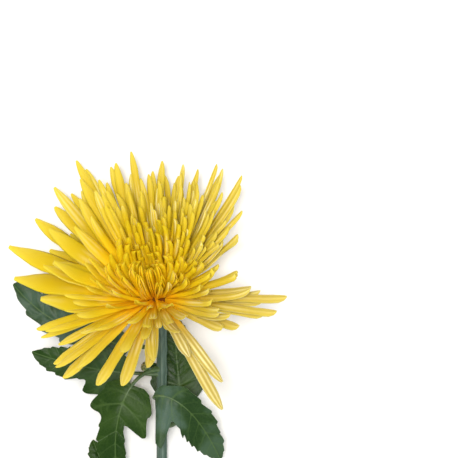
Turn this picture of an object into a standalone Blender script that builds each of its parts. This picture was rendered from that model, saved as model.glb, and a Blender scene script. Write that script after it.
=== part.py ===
"""A cut spider chrysanthemum, lying on a surface: one long-petalled bloom on a short leafy stem.

Lengths in this file are in millimetres and are turned into metres where a mesh is made.
+Z is up and the surface is z = 0. The stem runs along Y: its cut end is at -Y and the bloom at +Y,
nodding up and away from the stem. The bloom has a frame of its own: U to its right, V down its back
and A along its axis, from the point where the stem meets the green cup.
"""

import math
import random

import bmesh
import bpy
from mathutils import Matrix, Vector

METRE = 0.001
GOLDEN_ANGLE = math.radians(137.508)

# The bloom's place and the two angles that its axis makes
BLOOM_BASE = Vector((0.0, 0.0, 22.0))
AXIS_TILT = math.radians(49)
AXIS_LEAN = math.radians(12)

# The green cup of bracts, along the bloom's axis
CUP_FOOT = -1.0
CUP_RIM = 8.2
CUP_RIM_RADIUS = 9.4
CUP_FOOT_RADIUS = 3.3
BRACT_ROWS = ((11, 0.6, 6.4), (13, 2.2, 6.0), (15, 3.9, 5.0))
BRACT_HALF_WIDTH = 1.7
BRACT_THICKNESS = 1.1
BRACT_SINK = 0.25
BRACT_SLOPE = 0.92
CUP_STEPS = 20

# The head that carries the florets
HEAD_FLOOR = 8.5
HEAD_RADIUS = 9.0
HEAD_RISE = 5.0
HEAD_SPRING = 10.2
HEAD_FLAT = 1.2
HEAD_INSET = 0.4
HEAD_STEPS = 24
DISC_SHARE = 0.27
FLORET_COUNT = 215
FLORET_SEED = 7

# Ray florets, from the innermost (rank 0) to the outermost (rank 1). The angles are from the
# bloom's axis, in degrees: at rank 0, and what is added by rank 1.
ROOT_ANGLE = (8, 80)
TIP_ANGLE = (-18, 106)
TIP_HOOK = 15
AZIMUTH_SCATTER = 2.5
TIP_SCATTER = 5
PARTING_STRENGTH = 0.92
SHORTEST_FLORET = 20.0
FLORET_GROWTH = 49.0
NARROWEST_FLORET = 0.95
FLORET_WIDENING = 1.75
FLORET_THICKNESS = 0.95
FLORET_CUP = 0.35
FLORET_OPEN_AT = 0.6
FLORET_TAPER_AT = 0.72
HOOK_AT = 0.7
LINE_STEPS = 12
INNER_STATIONS = (0, 5, 10)
OUTER_STATIONS = (0, 4, 8, 11)
OUTER_RANK = 0.45
ROOT_DEPTH = 2.0
FLOOR_BEND = 4.0
FLOOR_CLEAR = 0.2

# Where the outer florets part, as (azimuth in the bloom, half width of the gap), in degrees
PARTINGS = ((-4, 15), (-61, 10), (-90, 8), (177, 12), (103, 5), (-119.5, 6), (-134, 5))

# How the florets differ round the bloom: (azimuth, share of the length, degrees further out)
SECTORS = (
    (-180, 0.66, 3), (-171, 0.58, 3), (-167, 0.66, 4), (-164.5, 0.84, 5), (-150, 0.84, 8),
    (-126, 0.85, 9), (-112, 0.84, 9), (-100, 0.64, 6), (-78, 0.62, 4), (-60, 0.66, 0),
    (-40, 0.66, 2), (-26, 0.76, 8), (-14, 0.64, 9), (0, 0.48, -8), (10, 0.64, -16),
    (20, 0.86, -23), (30, 0.98, -26), (60, 0.93, -31), (76, 0.89, -33), (90, 0.96, -33),
    (115, 1.02, -28), (135, 0.96, -20), (142, 0.93, -16), (147, 0.80, -13), (153, 0.80, -9),
    (158, 0.76, -6), (163, 0.86, -4), (171, 0.72, 0), (180, 0.66, 3),
)

# Outer florets of their own: (azimuth, length, half width, polar angles at the root and the tip).
# The last five are at the back, where the bloom's weight presses them on the surface.
STRAYS = (
    (-74, 73, 2.9, 95, 108), (-69, 61, 2.9, 93, 103), (-76.5, 41, 2.7, 88, 98),
    (-20, 60, 2.7, 88, 91), (-28, 57, 2.6, 90, 93), (-17, 42, 2.4, 84, 86),
    (-44.5, 45, 2.6, 86, 93), (11.5, 44, 2.2, 70, 60), (31, 67, 2.0, 62, 53),
    (42, 66, 2.0, 55, 47), (57, 61, 2.0, 48, 40), (87, 68, 2.2, 50, 43), (99, 63, 2.3, 52, 43),
    (112, 74, 2.5, 58, 48), (126, 69, 2.5, 62, 52), (137, 67, 2.7, 74, 64), (150, 72, 2.9, 80, 72),
    (157, 66, 3.0, 86, 86), (-177, 53, 2.7, 92, 96), (-152, 54, 2.8, 93, 98),
    (-142, 57, 2.8, 93, 98), (-124.5, 54, 2.8, 92, 97), (-112.5, 52, 2.8, 92, 97),
    (-100.5, 37, 2.5, 90, 97),
    (46, 52, 2.4, 84, 80), (66, 55, 2.4, 84, 78), (84, 52, 2.4, 86, 80), (106, 56, 2.4, 84, 78),
    (126, 54, 2.4, 84, 80),
)

# The button of unopened florets in the middle
DISC_RADIUS = 2.2
DISC_GAP = 0.3
BUTTON_PROFILE = ((0.0, 2.2), (0.6, 1.9), (0.9, 0.9), (1.0, 0.0))
BUTTON_STEPS = 16
DISC_BUDS = 16
BUD_LENGTH = 8.0
BUD_RADIUS = 0.48
BUD_SIDES = 5
BUD_LEAN = math.radians(12)
BUD_FOOT = 0.7
BUD_SEED = 3

# The stem: points along its middle from the cut end up, with the radius at each. Its last two
# points lie on the bloom's axis.
STEM_ROUTE = (
    ((-1.0, -236.0, 3.0), 3.0),
    ((-0.6, -216.0, 3.0), 3.0),
    ((0.1, -190.0, 3.1), 2.9),
    ((0.9, -150.0, 4.4), 2.8),
    ((1.6, -90.0, 6.4), 2.7),
    ((1.6, -45.0, 8.2), 2.6),
    ((1.6, -22.0, 10.2), 2.6),
)
STEM_NECK = ((-10.0, 2.7), (CUP_FOOT - 0.3, 3.0))
STEM_POINTS = 34
STEM_SIDES = 12
TOUCH_GAP = 0.3

# How far a blade's side reaches at each share of the blade's length, as a share of its half width
LEAF_SHARES = (0.00, 0.04, 0.08, 0.14, 0.19, 0.24, 0.28, 0.32, 0.38, 0.45, 0.52, 0.58, 0.64, 0.71,
               0.78, 0.85, 0.92, 1.00)
LEAF_SIDES = {
    "lobed": (0.25, 0.50, 0.68, 0.84, 0.95, 1.00, 0.80, 0.56, 0.52, 0.62, 0.66, 0.60, 0.54, 0.52,
              0.42, 0.33, 0.20, 0.02),
    "toothed": (0.20, 0.40, 0.57, 0.73, 0.87, 0.62, 0.57, 0.60, 0.63, 0.64, 0.62, 0.58, 0.52, 0.46,
                0.38, 0.28, 0.16, 0.02),
    "cleft": (0.32, 0.60, 0.72, 0.83, 0.90, 0.98, 0.80, 0.32, 0.26, 0.31, 0.34, 0.36, 0.38, 0.36,
              0.30, 0.22, 0.13, 0.02),
    "hanging": (0.74, 0.94, 1.00, 0.92, 0.48, 0.52, 0.66, 0.66, 0.58, 0.57, 0.55, 0.52, 0.48, 0.42,
                0.34, 0.26, 0.15, 0.02),
    "slim": (0.04, 0.12, 0.20, 0.28, 0.36, 0.42, 0.42, 0.40, 0.42, 0.44, 0.42, 0.38, 0.34, 0.34,
             0.28, 0.22, 0.14, 0.02),
    "broad": (0.20, 0.40, 0.57, 0.70, 0.78, 0.80, 0.80, 0.80, 0.80, 0.80, 0.80, 0.78, 0.76, 0.72,
              0.66, 0.56, 0.40, 0.04),
}
LEAF_THICKNESS = 0.8
LEAF_SLANT = math.radians(38)
FOOT_SLANT = math.radians(-18)
FULL_SLANT_AT = 0.25
PETIOLE_RADIUS = 1.25
RIB_TIP_RADIUS = 0.45
RIB_END = 0.86
RIB_INSET = 0.5
RIB_STEPS = 10
LINE_POINTS = 120

# Each leaf: where it leaves the stem (the height along Y and the turn round the stem from straight
# up, in degrees), how far it springs, its midrib's last two guide points, the way it faces, its
# petiole's length, its half width, how far its halves fold up, how much its edges droop, and the
# outlines of the sides to the left and the right of its own way
LEAVES = {
    "leaf_1": dict(at=-21, turn=-100, spring=16, guide=((-53, -16, 3.6), (-75, 12, 2.0)),
                   face=(0.0, 0.0, 1.0), petiole=15, half_width=16, fold=2, droop=0.03,
                   sides=("toothed", "broad")),
    "leaf_2": dict(at=-33, turn=-80, spring=14, guide=((-38, -32, 9.0), (-65, -22.5, 6.0)),
                   face=(0.05, -0.1, 1.0), petiole=14, half_width=16.5, fold=4, droop=0.10,
                   sides=("lobed", "toothed")),
    "leaf_3": dict(at=-31, turn=-60, spring=16, guide=((-27, -56, 20.0), (-20, -93, 9.0)),
                   face=(-0.1, 0.0, 1.0), petiole=16, half_width=19.6, fold=-4, droop=0.14,
                   sides=("cleft", "toothed")),
    "leaf_4": dict(at=-46, turn=-42, spring=12, guide=((12, -33, 25.0), (31.5, -77, 12.0)),
                   face=(-0.4, 0.0, 1.0), petiole=6.5, half_width=26, fold=4, droop=0.06,
                   sides=("slim", "hanging")),
    "leaf_5": dict(at=-60, turn=92, spring=12, guide=((8.5, -42, 2.2), (8, -5, 2.2)),
                   face=(0.0, 0.0, 1.0), petiole=16, half_width=17, fold=0, droop=0.02,
                   sides=("lobed", "lobed")),
    "leaf_6": dict(at=-94, turn=-80, spring=14, guide=((-24, -96, 6.0), (-34, -68, 3.0)),
                   face=(0.0, 0.1, 1.0), petiole=14, half_width=12, fold=5, droop=0.06,
                   sides=("lobed", "toothed")),
    "leaf_7": dict(at=-120, turn=70, spring=16, guide=((34, -128, 8.0), (56, -144, 2.0)),
                   face=(0.0, 0.0, 1.0), petiole=15, half_width=19, fold=4, droop=0.08,
                   sides=("toothed", "lobed")),
}


def clear_scene():
    for obj in list(bpy.data.objects):
        bpy.data.objects.remove(obj, do_unlink=True)


def new_collection(name):
    made = bpy.data.collections.new(name)
    bpy.context.scene.collection.children.link(made)
    return made


def new_material(name, colour, roughness):
    made = bpy.data.materials.new(name)
    made.use_nodes = True
    shader = made.node_tree.nodes["Principled BSDF"]
    shader.inputs["Base Color"].default_value = (*colour, 1.0)
    shader.inputs["Roughness"].default_value = roughness
    shader.inputs["Metallic"].default_value = 0.0
    return made


def new_object(name, mesh, collection):
    obj = bpy.data.objects.new(name, mesh)
    collection.objects.link(obj)
    return obj


def smooth_route(points, count):
    """count points, evenly spaced, on a Catmull-Rom curve through the given points."""
    ends = [2 * points[0] - points[1], *points, 2 * points[-1] - points[-2]]
    dense = []
    for a, b, c, d in zip(ends, ends[1:], ends[2:], ends[3:]):
        for step in range(24):
            t = step / 24
            dense.append(0.5 * (2 * b + (c - a) * t + (2 * a - 5 * b + 4 * c - d) * t**2
                                + (3 * b - a - 3 * c + d) * t**3))
    dense.append(points[-1])
    return spaced(dense, count)


def spaced(dense, count):
    """count points, evenly spaced along a polyline."""
    reach = [0.0]
    for a, b in zip(dense, dense[1:]):
        reach.append(reach[-1] + (b.xyz - a.xyz).length)
    result, k = [], 0
    for n in range(count):
        wanted = reach[-1] * n / (count - 1)
        while k < len(reach) - 2 and reach[k + 1] < wanted:
            k += 1
        share = (wanted - reach[k]) / (reach[k + 1] - reach[k])
        result.append(dense[k].lerp(dense[k + 1], min(1.0, share)))
    return result


def evaluated_mesh(obj):
    """The object's mesh with its modifiers applied, in world space."""
    bpy.context.view_layer.update()
    graph = bpy.context.evaluated_depsgraph_get()
    mesh = bpy.data.meshes.new_from_object(obj.evaluated_get(graph))
    mesh.transform(obj.matrix_world)
    return mesh


def tube(name, points, radii, sides, collection):
    """A round tube along points, as a closed mesh object."""
    curve = bpy.data.curves.new(name, "CURVE")
    curve.dimensions = "3D"
    curve.twist_mode = "Z_UP"
    curve.bevel_depth = METRE
    curve.bevel_resolution = (sides - 4) // 2
    curve.use_fill_caps = True
    spline = curve.splines.new("POLY")
    spline.points.add(len(points) - 1)
    for target, point, radius in zip(spline.points, points, radii):
        target.co = (*(point * METRE), 1.0)
        target.radius = radius
        target.tilt = math.pi / sides
    curve_object = new_object(name, curve, collection)
    mesh = evaluated_mesh(curve_object)
    bpy.data.objects.remove(curve_object)
    bm = bmesh.new()
    bm.from_mesh(mesh)
    bmesh.ops.remove_doubles(bm, verts=bm.verts, dist=1e-6)
    bm.to_mesh(mesh)
    bm.free()
    mesh.shade_smooth()
    mesh.set_sharp_from_angle(angle=math.radians(50))
    return new_object(name, mesh, collection)


def turned(name, profile, steps, matrix, collection):
    """A solid turned about Z from (radius, height) points given from top to bottom."""
    mesh = bpy.data.meshes.new(name)
    points = [(radius * METRE, 0.0, height * METRE) for radius, height in profile]
    mesh.from_pydata(points, [(k, k + 1) for k in range(len(points) - 1)], [])
    obj = new_object(name, mesh, collection)
    screw = obj.modifiers.new("Turn", "SCREW")
    screw.steps = steps
    screw.render_steps = steps
    screw.use_merge_vertices = True
    screw.merge_threshold = 1e-5
    obj.matrix_world = matrix
    solid = evaluated_mesh(obj)
    bpy.data.objects.remove(obj)
    return new_object(name, solid, collection)


def fuse(core, collection, solver):
    """Joins everything in the collection to core, then removes the collection's objects."""
    union = core.modifiers.new("Fuse", "BOOLEAN")
    union.operation = "UNION"
    union.operand_type = "COLLECTION"
    union.collection = collection
    union.solver = solver
    mesh = evaluated_mesh(core)
    core.modifiers.clear()
    core.data = mesh
    for obj in list(collection.objects):
        bpy.data.objects.remove(obj, do_unlink=True)
    keep_outer_body(mesh)


def keep_outer_body(mesh):
    """Removes loose scraps and the walls of sealed hollows, which leaves the largest body."""
    bm = bmesh.new()
    bm.from_mesh(mesh)
    unseen = set(bm.verts)
    bodies = []
    while unseen:
        body, front = set(), [unseen.pop()]
        while front:
            vertex = front.pop()
            body.add(vertex)
            for edge in vertex.link_edges:
                other = edge.other_vert(vertex)
                if other in unseen:
                    unseen.discard(other)
                    front.append(other)
        bodies.append(body)
    largest = max(bodies, key=len)
    bmesh.ops.delete(bm, geom=[v for body in bodies if body is not largest for v in body])
    bmesh.ops.triangulate(bm, faces=bm.faces)
    bm.to_mesh(mesh)
    bm.free()


def bloom_matrix():
    """The bloom's frame, U, V and A, at the point where the stem meets the cup."""
    tilt, lean = AXIS_TILT, AXIS_LEAN
    u = Vector((math.cos(lean), math.sin(lean), 0.0))
    v = Vector((-math.cos(tilt) * math.sin(lean), math.cos(tilt) * math.cos(lean), -math.sin(tilt)))
    a = Vector((-math.sin(tilt) * math.sin(lean), math.sin(tilt) * math.cos(lean), math.cos(tilt)))
    turn = Matrix((u, v, a)).transposed().to_4x4()
    return Matrix.Translation(BLOOM_BASE * METRE) @ turn


def parted(azimuth, strength):
    """Moves an azimuth away from the middle of each parting near it."""
    for middle, half_width in PARTINGS:
        offset = (azimuth - math.radians(middle) + math.pi) % math.tau - math.pi
        width = math.radians(half_width)
        shift = strength * width * math.exp(-abs(offset) / width)
        azimuth += math.copysign(shift, offset)
    return azimuth


def sector(azimuth):
    """(share of the length, angle further out) at an azimuth, between the sectors' points."""
    angle = (math.degrees(azimuth) + 180) % 360 - 180
    for (a0, l0, p0), (a1, l1, p1) in zip(SECTORS, SECTORS[1:]):
        if angle <= a1:
            share = (angle - a0) / (a1 - a0)
            ease = share * share * (3 - 2 * share)
            return l0 + (l1 - l0) * ease, math.radians(p0 + (p1 - p0) * ease)
    return SECTORS[-1][1], 0.0


def on_head(rank):
    """(radius, height) on the head for a rank from 0 at the disc's edge to 1 at the rim."""
    polar = math.acos(1 - (DISC_SHARE + rank * (1 - DISC_SHARE)) ** 2)
    return HEAD_RADIUS * math.sin(polar), HEAD_SPRING + HEAD_RISE * math.cos(polar)


def ray_florets():
    """The size, place and bend of each ray floret, from the middle outwards."""
    rng = random.Random(FLORET_SEED)
    florets = []
    for index in range(FLORET_COUNT):
        share = math.sqrt((index + 0.5) / FLORET_COUNT)
        if share < DISC_SHARE:
            continue
        rank = (share - DISC_SHARE) / (1 - DISC_SHARE)
        azimuth = index * GOLDEN_ANGLE + math.radians(rng.gauss(0, AZIMUTH_SCATTER))
        azimuth = parted(azimuth, PARTING_STRENGTH * rank**1.5)
        reach, outward = sector(azimuth)
        length = (SHORTEST_FLORET + FLORET_GROWTH * rank) * rng.uniform(0.88, 1.04)
        florets.append(dict(
            rank=rank,
            azimuth=azimuth,
            length=length * (1 + (reach - 1) * min(1.0, 2 * rank)),
            start=math.radians(ROOT_ANGLE[0] + ROOT_ANGLE[1] * rank + rng.gauss(0, 1.5))
            + outward * rank,
            end=math.radians(TIP_ANGLE[0] + TIP_ANGLE[1] * rank**1.1 + rng.gauss(0, TIP_SCATTER))
            + outward * rank,
            sway=math.radians(rng.gauss(0, 4)),
            hook=math.radians(TIP_HOOK * (1 - rank) + rng.gauss(0, 4)),
            half_width=(NARROWEST_FLORET + FLORET_WIDENING * rank**0.9) * rng.uniform(0.9, 1.1),
            roll=rng.gauss(0, 0.2),
        ))
    for azimuth, length, half_width, start, end in STRAYS:
        florets.append(dict(
            rank=1.0, azimuth=math.radians(azimuth), length=length, start=math.radians(start),
            end=math.radians(end), sway=0.0, hook=0.05, half_width=half_width, roll=0.0,
        ))
    return florets


def floret_line(floret):
    """LINE_STEPS + 1 points down the middle of a floret and the direction at each, in the bloom."""
    radius, height = on_head(floret["rank"])
    azimuth = floret["azimuth"]
    point = Vector((radius * math.cos(azimuth), radius * math.sin(azimuth), height))
    points, directions = [point], []
    for k in range(LINE_STEPS):
        share = (k + 0.5) / LINE_STEPS
        polar = floret["start"] + (floret["end"] - floret["start"]) * share
        polar -= floret["hook"] * max(0.0, share - HOOK_AT) / (1 - HOOK_AT)
        around = azimuth + 2 * floret["sway"] * share**2
        direction = Vector((math.sin(polar) * math.cos(around), math.sin(polar) * math.sin(around),
                            math.cos(polar)))
        directions.append(direction)
        points.append(points[-1] + direction * floret["length"] / LINE_STEPS)
    directions.append(directions[-1])
    return points, directions


def floret_width(share):
    """A floret's half width at a share of its length, as a share of its widest."""
    widening = 0.30 + 0.70 * min(1.0, share / FLORET_OPEN_AT) ** 0.8
    tip = max(0.0, share - FLORET_TAPER_AT) / (1 - FLORET_TAPER_AT)
    closing = math.sqrt(max(0.0, 1 - 0.9 * tip**2))
    return widening * closing


def lifted(height):
    """A height above the surface, eased up where a floret presses on it."""
    over = height - FLOOR_CLEAR
    return FLOOR_CLEAR + 0.5 * (over + math.sqrt(over**2 + FLOOR_BEND**2))


def floret_mesh(floret, to_world):
    """A three-sided blade: two edges and a keel at each station, and a point at the tip."""
    line, directions = floret_line(floret)
    turn = to_world.to_3x3()
    stations = OUTER_STATIONS if floret["rank"] > OUTER_RANK else INNER_STATIONS
    points = []
    for mark in (*stations, LINE_STEPS):
        share = mark / LINE_STEPS
        direction = directions[mark]
        across = Vector((-math.sin(floret["azimuth"]), math.cos(floret["azimuth"]), 0.0))
        across = Matrix.Rotation(floret["roll"] * share, 3, direction) @ across
        inner = turn @ across.cross(direction)
        point = line[mark] - direction * (ROOT_DEPTH if mark == 0 else 0.0)
        middle = to_world @ (point * METRE) / METRE
        middle.z = lifted(middle.z)
        if mark == LINE_STEPS:
            points.append(middle)
            continue
        side = turn @ across * floret["half_width"] * floret_width(share)
        rise = inner * FLORET_CUP
        points += [middle - side + rise, middle + side + rise, middle - inner * FLORET_THICKNESS]
    faces = [(2, 1, 0)]
    for k in range(len(stations) - 1):
        a, b = 3 * k, 3 * k + 3
        for i, j in ((0, 1), (1, 2), (2, 0)):
            faces += [(a + i, a + j, b + i), (a + j, b + j, b + i)]
    tip = len(points) - 1
    last = tip - 3
    faces += [(last, last + 1, tip), (last + 1, last + 2, tip), (last + 2, last, tip)]
    for point in points:
        point.z = max(point.z, 0.0)
    mesh = bpy.data.meshes.new("floret")
    mesh.from_pydata([p * METRE for p in points], [], faces)
    return mesh


def make_ray_florets(collection, material):
    """The head with every ray floret fused to it."""
    to_world = bloom_matrix()
    rim, top = on_head(1.0)[0], HEAD_SPRING + HEAD_RISE
    dome = [(0.0, top - HEAD_FLAT), (DISC_RADIUS + 2 * DISC_GAP, top - HEAD_FLAT)]
    dome += [(r - 0.1, h - HEAD_INSET) for r, h in (on_head(k / 4) for k in range(5))]
    dome += [(rim, HEAD_FLOOR), (0.0, HEAD_FLOOR)]
    head = turned("ray_florets", dome, HEAD_STEPS, to_world, collection)
    blades = new_collection("blades")
    for floret in ray_florets():
        new_object("blade", floret_mesh(floret, to_world), blades)
    fuse(head, blades, "MANIFOLD")
    bpy.data.collections.remove(blades)
    head.data.materials.append(material)


def make_disc(collection, material):
    """The button of unopened florets, on the flat middle of the head."""
    to_world = bloom_matrix()
    floor = HEAD_SPRING + HEAD_RISE - HEAD_FLAT + DISC_GAP
    profile = [(DISC_RADIUS * share, floor + height) for share, height in BUTTON_PROFILE]
    profile.append((0.0, floor))
    button = turned("disc_florets", profile, BUTTON_STEPS, to_world, collection)
    buds = new_collection("buds")
    rng = random.Random(BUD_SEED)
    for index in range(DISC_BUDS):
        share = math.sqrt((index + 0.5) / DISC_BUDS)
        radius = share * (DISC_RADIUS - BUD_RADIUS)
        azimuth = index * GOLDEN_ANGLE
        lean = BUD_LEAN * share
        length = BUD_LENGTH * rng.uniform(0.85, 1.1) * (1 - 0.25 * share)
        bm = bmesh.new()
        bmesh.ops.create_cone(bm, cap_ends=True, segments=BUD_SIDES, radius1=BUD_RADIUS * METRE,
                              radius2=0.6 * BUD_RADIUS * METRE, depth=length * METRE)
        place = Matrix.Translation(Vector((radius * math.cos(azimuth), radius * math.sin(azimuth),
                                           floor + BUD_FOOT + length / 2)) * METRE)
        turn = Matrix.Rotation(azimuth, 4, "Z") @ Matrix.Rotation(lean, 4, "Y")
        bmesh.ops.transform(bm, matrix=to_world @ place @ turn, verts=bm.verts)
        mesh = bpy.data.meshes.new("bud")
        bm.to_mesh(mesh)
        bm.free()
        new_object("bud", mesh, buds)
    fuse(button, buds, "MANIFOLD")
    bpy.data.collections.remove(buds)
    button.data.materials.append(material)


def cup_radius(height):
    """The cup's outer radius at a height along the axis: a quarter of an ellipse."""
    share = min(1.0, max(0.0, (height - CUP_FOOT) / (CUP_RIM - CUP_FOOT)))
    return CUP_FOOT_RADIUS + (CUP_RIM_RADIUS - CUP_FOOT_RADIUS) * math.sqrt(1 - (1 - share) ** 2)


def bract_mesh(azimuth, foot, length, to_world):
    """A pointed green scale that lies against the cup."""
    points = []
    for share, half in ((0.0, 0.8), (0.55, 1.0)):
        height = foot + length * share * BRACT_SLOPE
        middle = cup_radius(height) - BRACT_SINK
        wide = BRACT_HALF_WIDTH * half / middle
        for angle, out in ((-wide, 0.0), (0.0, BRACT_THICKNESS), (wide, 0.0)):
            radius = middle + out
            points.append(Vector((radius * math.cos(azimuth + angle),
                                  radius * math.sin(azimuth + angle), height)))
    height = foot + length * BRACT_SLOPE
    radius = cup_radius(height) + BRACT_SINK
    points.append(Vector((radius * math.cos(azimuth), radius * math.sin(azimuth), height)))
    ring = (0, 1, 2)
    faces = [ring[::-1]]
    for i, j in zip(ring, ring[1:] + ring[:1]):
        faces += [(i, j, 3 + j), (i, 3 + j, 3 + i), (3 + i, 3 + j, 6)]
    mesh = bpy.data.meshes.new("bract")
    mesh.from_pydata([to_world @ (p * METRE) for p in points], [], faces)
    bm = bmesh.new()
    bm.from_mesh(mesh)
    bmesh.ops.recalc_face_normals(bm, faces=bm.faces)
    bm.to_mesh(mesh)
    bm.free()
    return mesh


def make_cup(collection, material):
    """The cup of bracts under the head."""
    to_world = bloom_matrix()
    heights = [CUP_RIM - (CUP_RIM - CUP_FOOT) * k / 6 for k in range(7)]
    profile = [(0.0, CUP_RIM)] + [(cup_radius(h), h) for h in heights] + [(0.0, CUP_FOOT)]
    cup = turned("involucre", profile, CUP_STEPS, to_world, collection)
    bracts = new_collection("bracts")
    for row, (count, foot, length) in enumerate(BRACT_ROWS):
        for index in range(count):
            azimuth = math.tau * (index + 0.5 * (row % 2)) / count
            new_object("bract", bract_mesh(azimuth, foot, length, to_world), bracts)
    fuse(cup, bracts, "MANIFOLD")
    bpy.data.collections.remove(bracts)
    cup.data.materials.append(material)


def stem_line(count):
    """Points along the stem's middle and the radius at each."""
    route = [Vector((*point, radius)) for point, radius in STEM_ROUTE]
    axis = bloom_matrix().to_3x3().col[2]
    route += [Vector((*(BLOOM_BASE + axis * height), radius)) for height, radius in STEM_NECK]
    route = smooth_route(route, count)
    return [p.xyz for p in route], [p.w for p in route]


def make_stem(collection, material):
    points, radii = stem_line(STEM_POINTS)
    side = math.cos(math.pi / STEM_SIDES)
    stem = tube("stem", points, [r / side for r in radii], STEM_SIDES, collection)
    for vertex in stem.data.vertices:
        vertex.co.z = max(vertex.co.z, 0.0)
    stem.data.materials.append(material)


def bezier(guide, share):
    a, b, c, d = (Vector(p) for p in guide)
    rest = 1 - share
    return a * rest**3 + 3 * b * rest**2 * share + 3 * c * rest * share**2 + d * share**3


def leaf_guide(leaf):
    """The midrib's four guide points, from just off the stem's skin to the leaf's tip."""
    points, radii = stem_line(200)
    k = min(range(1, 199), key=lambda n: abs(points[n].y - leaf["at"]))
    ahead = (points[k + 1] - points[k - 1]).normalized()
    turn = math.radians(leaf["turn"])
    outward = Vector((math.sin(turn), 0.0, math.cos(turn)))
    outward = (outward - ahead * outward.dot(ahead)).normalized()
    start = points[k] + outward * (radii[k] / math.cos(math.pi / STEM_SIDES) + TOUCH_GAP)
    return (start, start + outward * leaf["spring"], *leaf["guide"])


def leaf_line(guide, face, count):
    """Points along a midrib, evenly spaced, with the directions along, across and out of the leaf."""
    points = spaced([bezier(guide, k / 60) for k in range(61)], count)
    frames = []
    for k, point in enumerate(points):
        ahead = (points[min(k + 1, count - 1)] - points[max(k - 1, 0)]).normalized()
        across = ahead.cross(Vector(face)).normalized()
        frames.append((point, ahead, across, across.cross(ahead)))
    return frames


def vein_slant(share):
    """The slant of the side veins: backwards at the blade's foot, then forwards."""
    return FOOT_SLANT + (LEAF_SLANT - FOOT_SLANT) * min(1.0, share / FULL_SLANT_AT)


def make_leaf(name, leaf, collection, material):
    """A lobed blade on its petiole, with the midrib raised along its underside."""
    dense = leaf_line(leaf_guide(leaf), leaf["face"], LINE_POINTS + 1)
    length = sum((b[0] - a[0]).length for a, b in zip(dense, dense[1:]))
    start = leaf["petiole"] / length
    fold = math.radians(leaf["fold"])
    reach = leaf["half_width"]
    bm = bmesh.new()
    rows = []
    left, right = (LEAF_SIDES[side] for side in leaf["sides"])
    for share, left_width, right_width in zip(LEAF_SHARES, left, right):
        point, ahead, across, out = dense[round((start + (1 - start) * share) * LINE_POINTS)]
        row = []
        for t, width in ((-1.0, left_width), (0.0, 0.0), (1.0, right_width)):
            aside = width * reach
            slant = vein_slant(share)
            slanted = across * math.copysign(math.cos(slant), t) + ahead * math.sin(slant)
            lift = aside * math.sin(fold) - leaf["droop"] * aside**2 / reach
            row.append(bm.verts.new((point + slanted * aside + out * lift) * METRE))
        rows.append(row)
    for a, b in zip(rows, rows[1:]):
        for i in range(2):
            bm.faces.new((a[i], a[i + 1], b[i + 1], b[i]))
    bmesh.ops.triangulate(bm, faces=bm.faces)
    mesh = bpy.data.meshes.new(name)
    bm.to_mesh(mesh)
    bm.free()
    sheet = new_object(name, mesh, collection)
    thicken = sheet.modifiers.new("Thicken", "SOLIDIFY")
    thicken.thickness = LEAF_THICKNESS * METRE
    thicken.offset = 0.0
    sheet.data = evaluated_mesh(sheet)
    sheet.modifiers.clear()
    rib = [point - out * RIB_INSET * min(1.0, k / 20) for k, (point, _, _, out) in enumerate(dense)]
    rib = spaced(rib[: round((start + (1 - start) * RIB_END) * LINE_POINTS) + 1], RIB_STEPS + 1)
    radii = [PETIOLE_RADIUS + (RIB_TIP_RADIUS - PETIOLE_RADIUS) * k / RIB_STEPS
             for k in range(RIB_STEPS + 1)]
    ribs = new_collection("ribs")
    tube("rib", rib, radii, 6, ribs)
    fuse(sheet, ribs, "EXACT")
    bpy.data.collections.remove(ribs)
    sheet.data.materials.append(material)


def centre_on_surface(collection):
    """Moves the whole flower so that its box is centred over the origin and stands on z = 0."""
    corners = [vertex.co for obj in collection.objects for vertex in obj.data.vertices]
    low = [min(corner[k] for corner in corners) for k in range(3)]
    high = [max(corner[k] for corner in corners) for k in range(3)]
    shift = Vector((-(low[0] + high[0]) / 2, -(low[1] + high[1]) / 2, -low[2]))
    for obj in collection.objects:
        obj.data.transform(Matrix.Translation(shift))


def main():
    clear_scene()
    flower = new_collection("spider_chrysanthemum")
    petal_yellow = new_material("petal_yellow", (0.86, 0.56, 0.02), 0.5)
    disc_yellow = new_material("disc_yellow", (0.55, 0.45, 0.05), 0.6)
    cup_green = new_material("cup_green", (0.06, 0.13, 0.03), 0.6)
    stem_green = new_material("stem_green", (0.10, 0.16, 0.06), 0.55)
    leaf_green = new_material("leaf_green", (0.03, 0.08, 0.02), 0.5)
    make_ray_florets(flower, petal_yellow)
    make_disc(flower, disc_yellow)
    make_cup(flower, cup_green)
    make_stem(flower, stem_green)
    for name, leaf in LEAVES.items():
        make_leaf(name, leaf, flower, leaf_green)
    centre_on_surface(flower)


main()
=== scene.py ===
# %% [markdown]
# # Dressing a cut spider chrysanthemum
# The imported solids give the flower's bones: where the bloom, its green cup, the stem and the seven
# leaves lie. This lesson grows the visible flower over them. Each piece is explained first, then
# built in a few short cells, and every piece keeps to the place that its solid holds.

# %% Load the frame
import math
import random

import bmesh
import bpy
import numpy as np
from mathutils import Matrix, Vector


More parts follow.
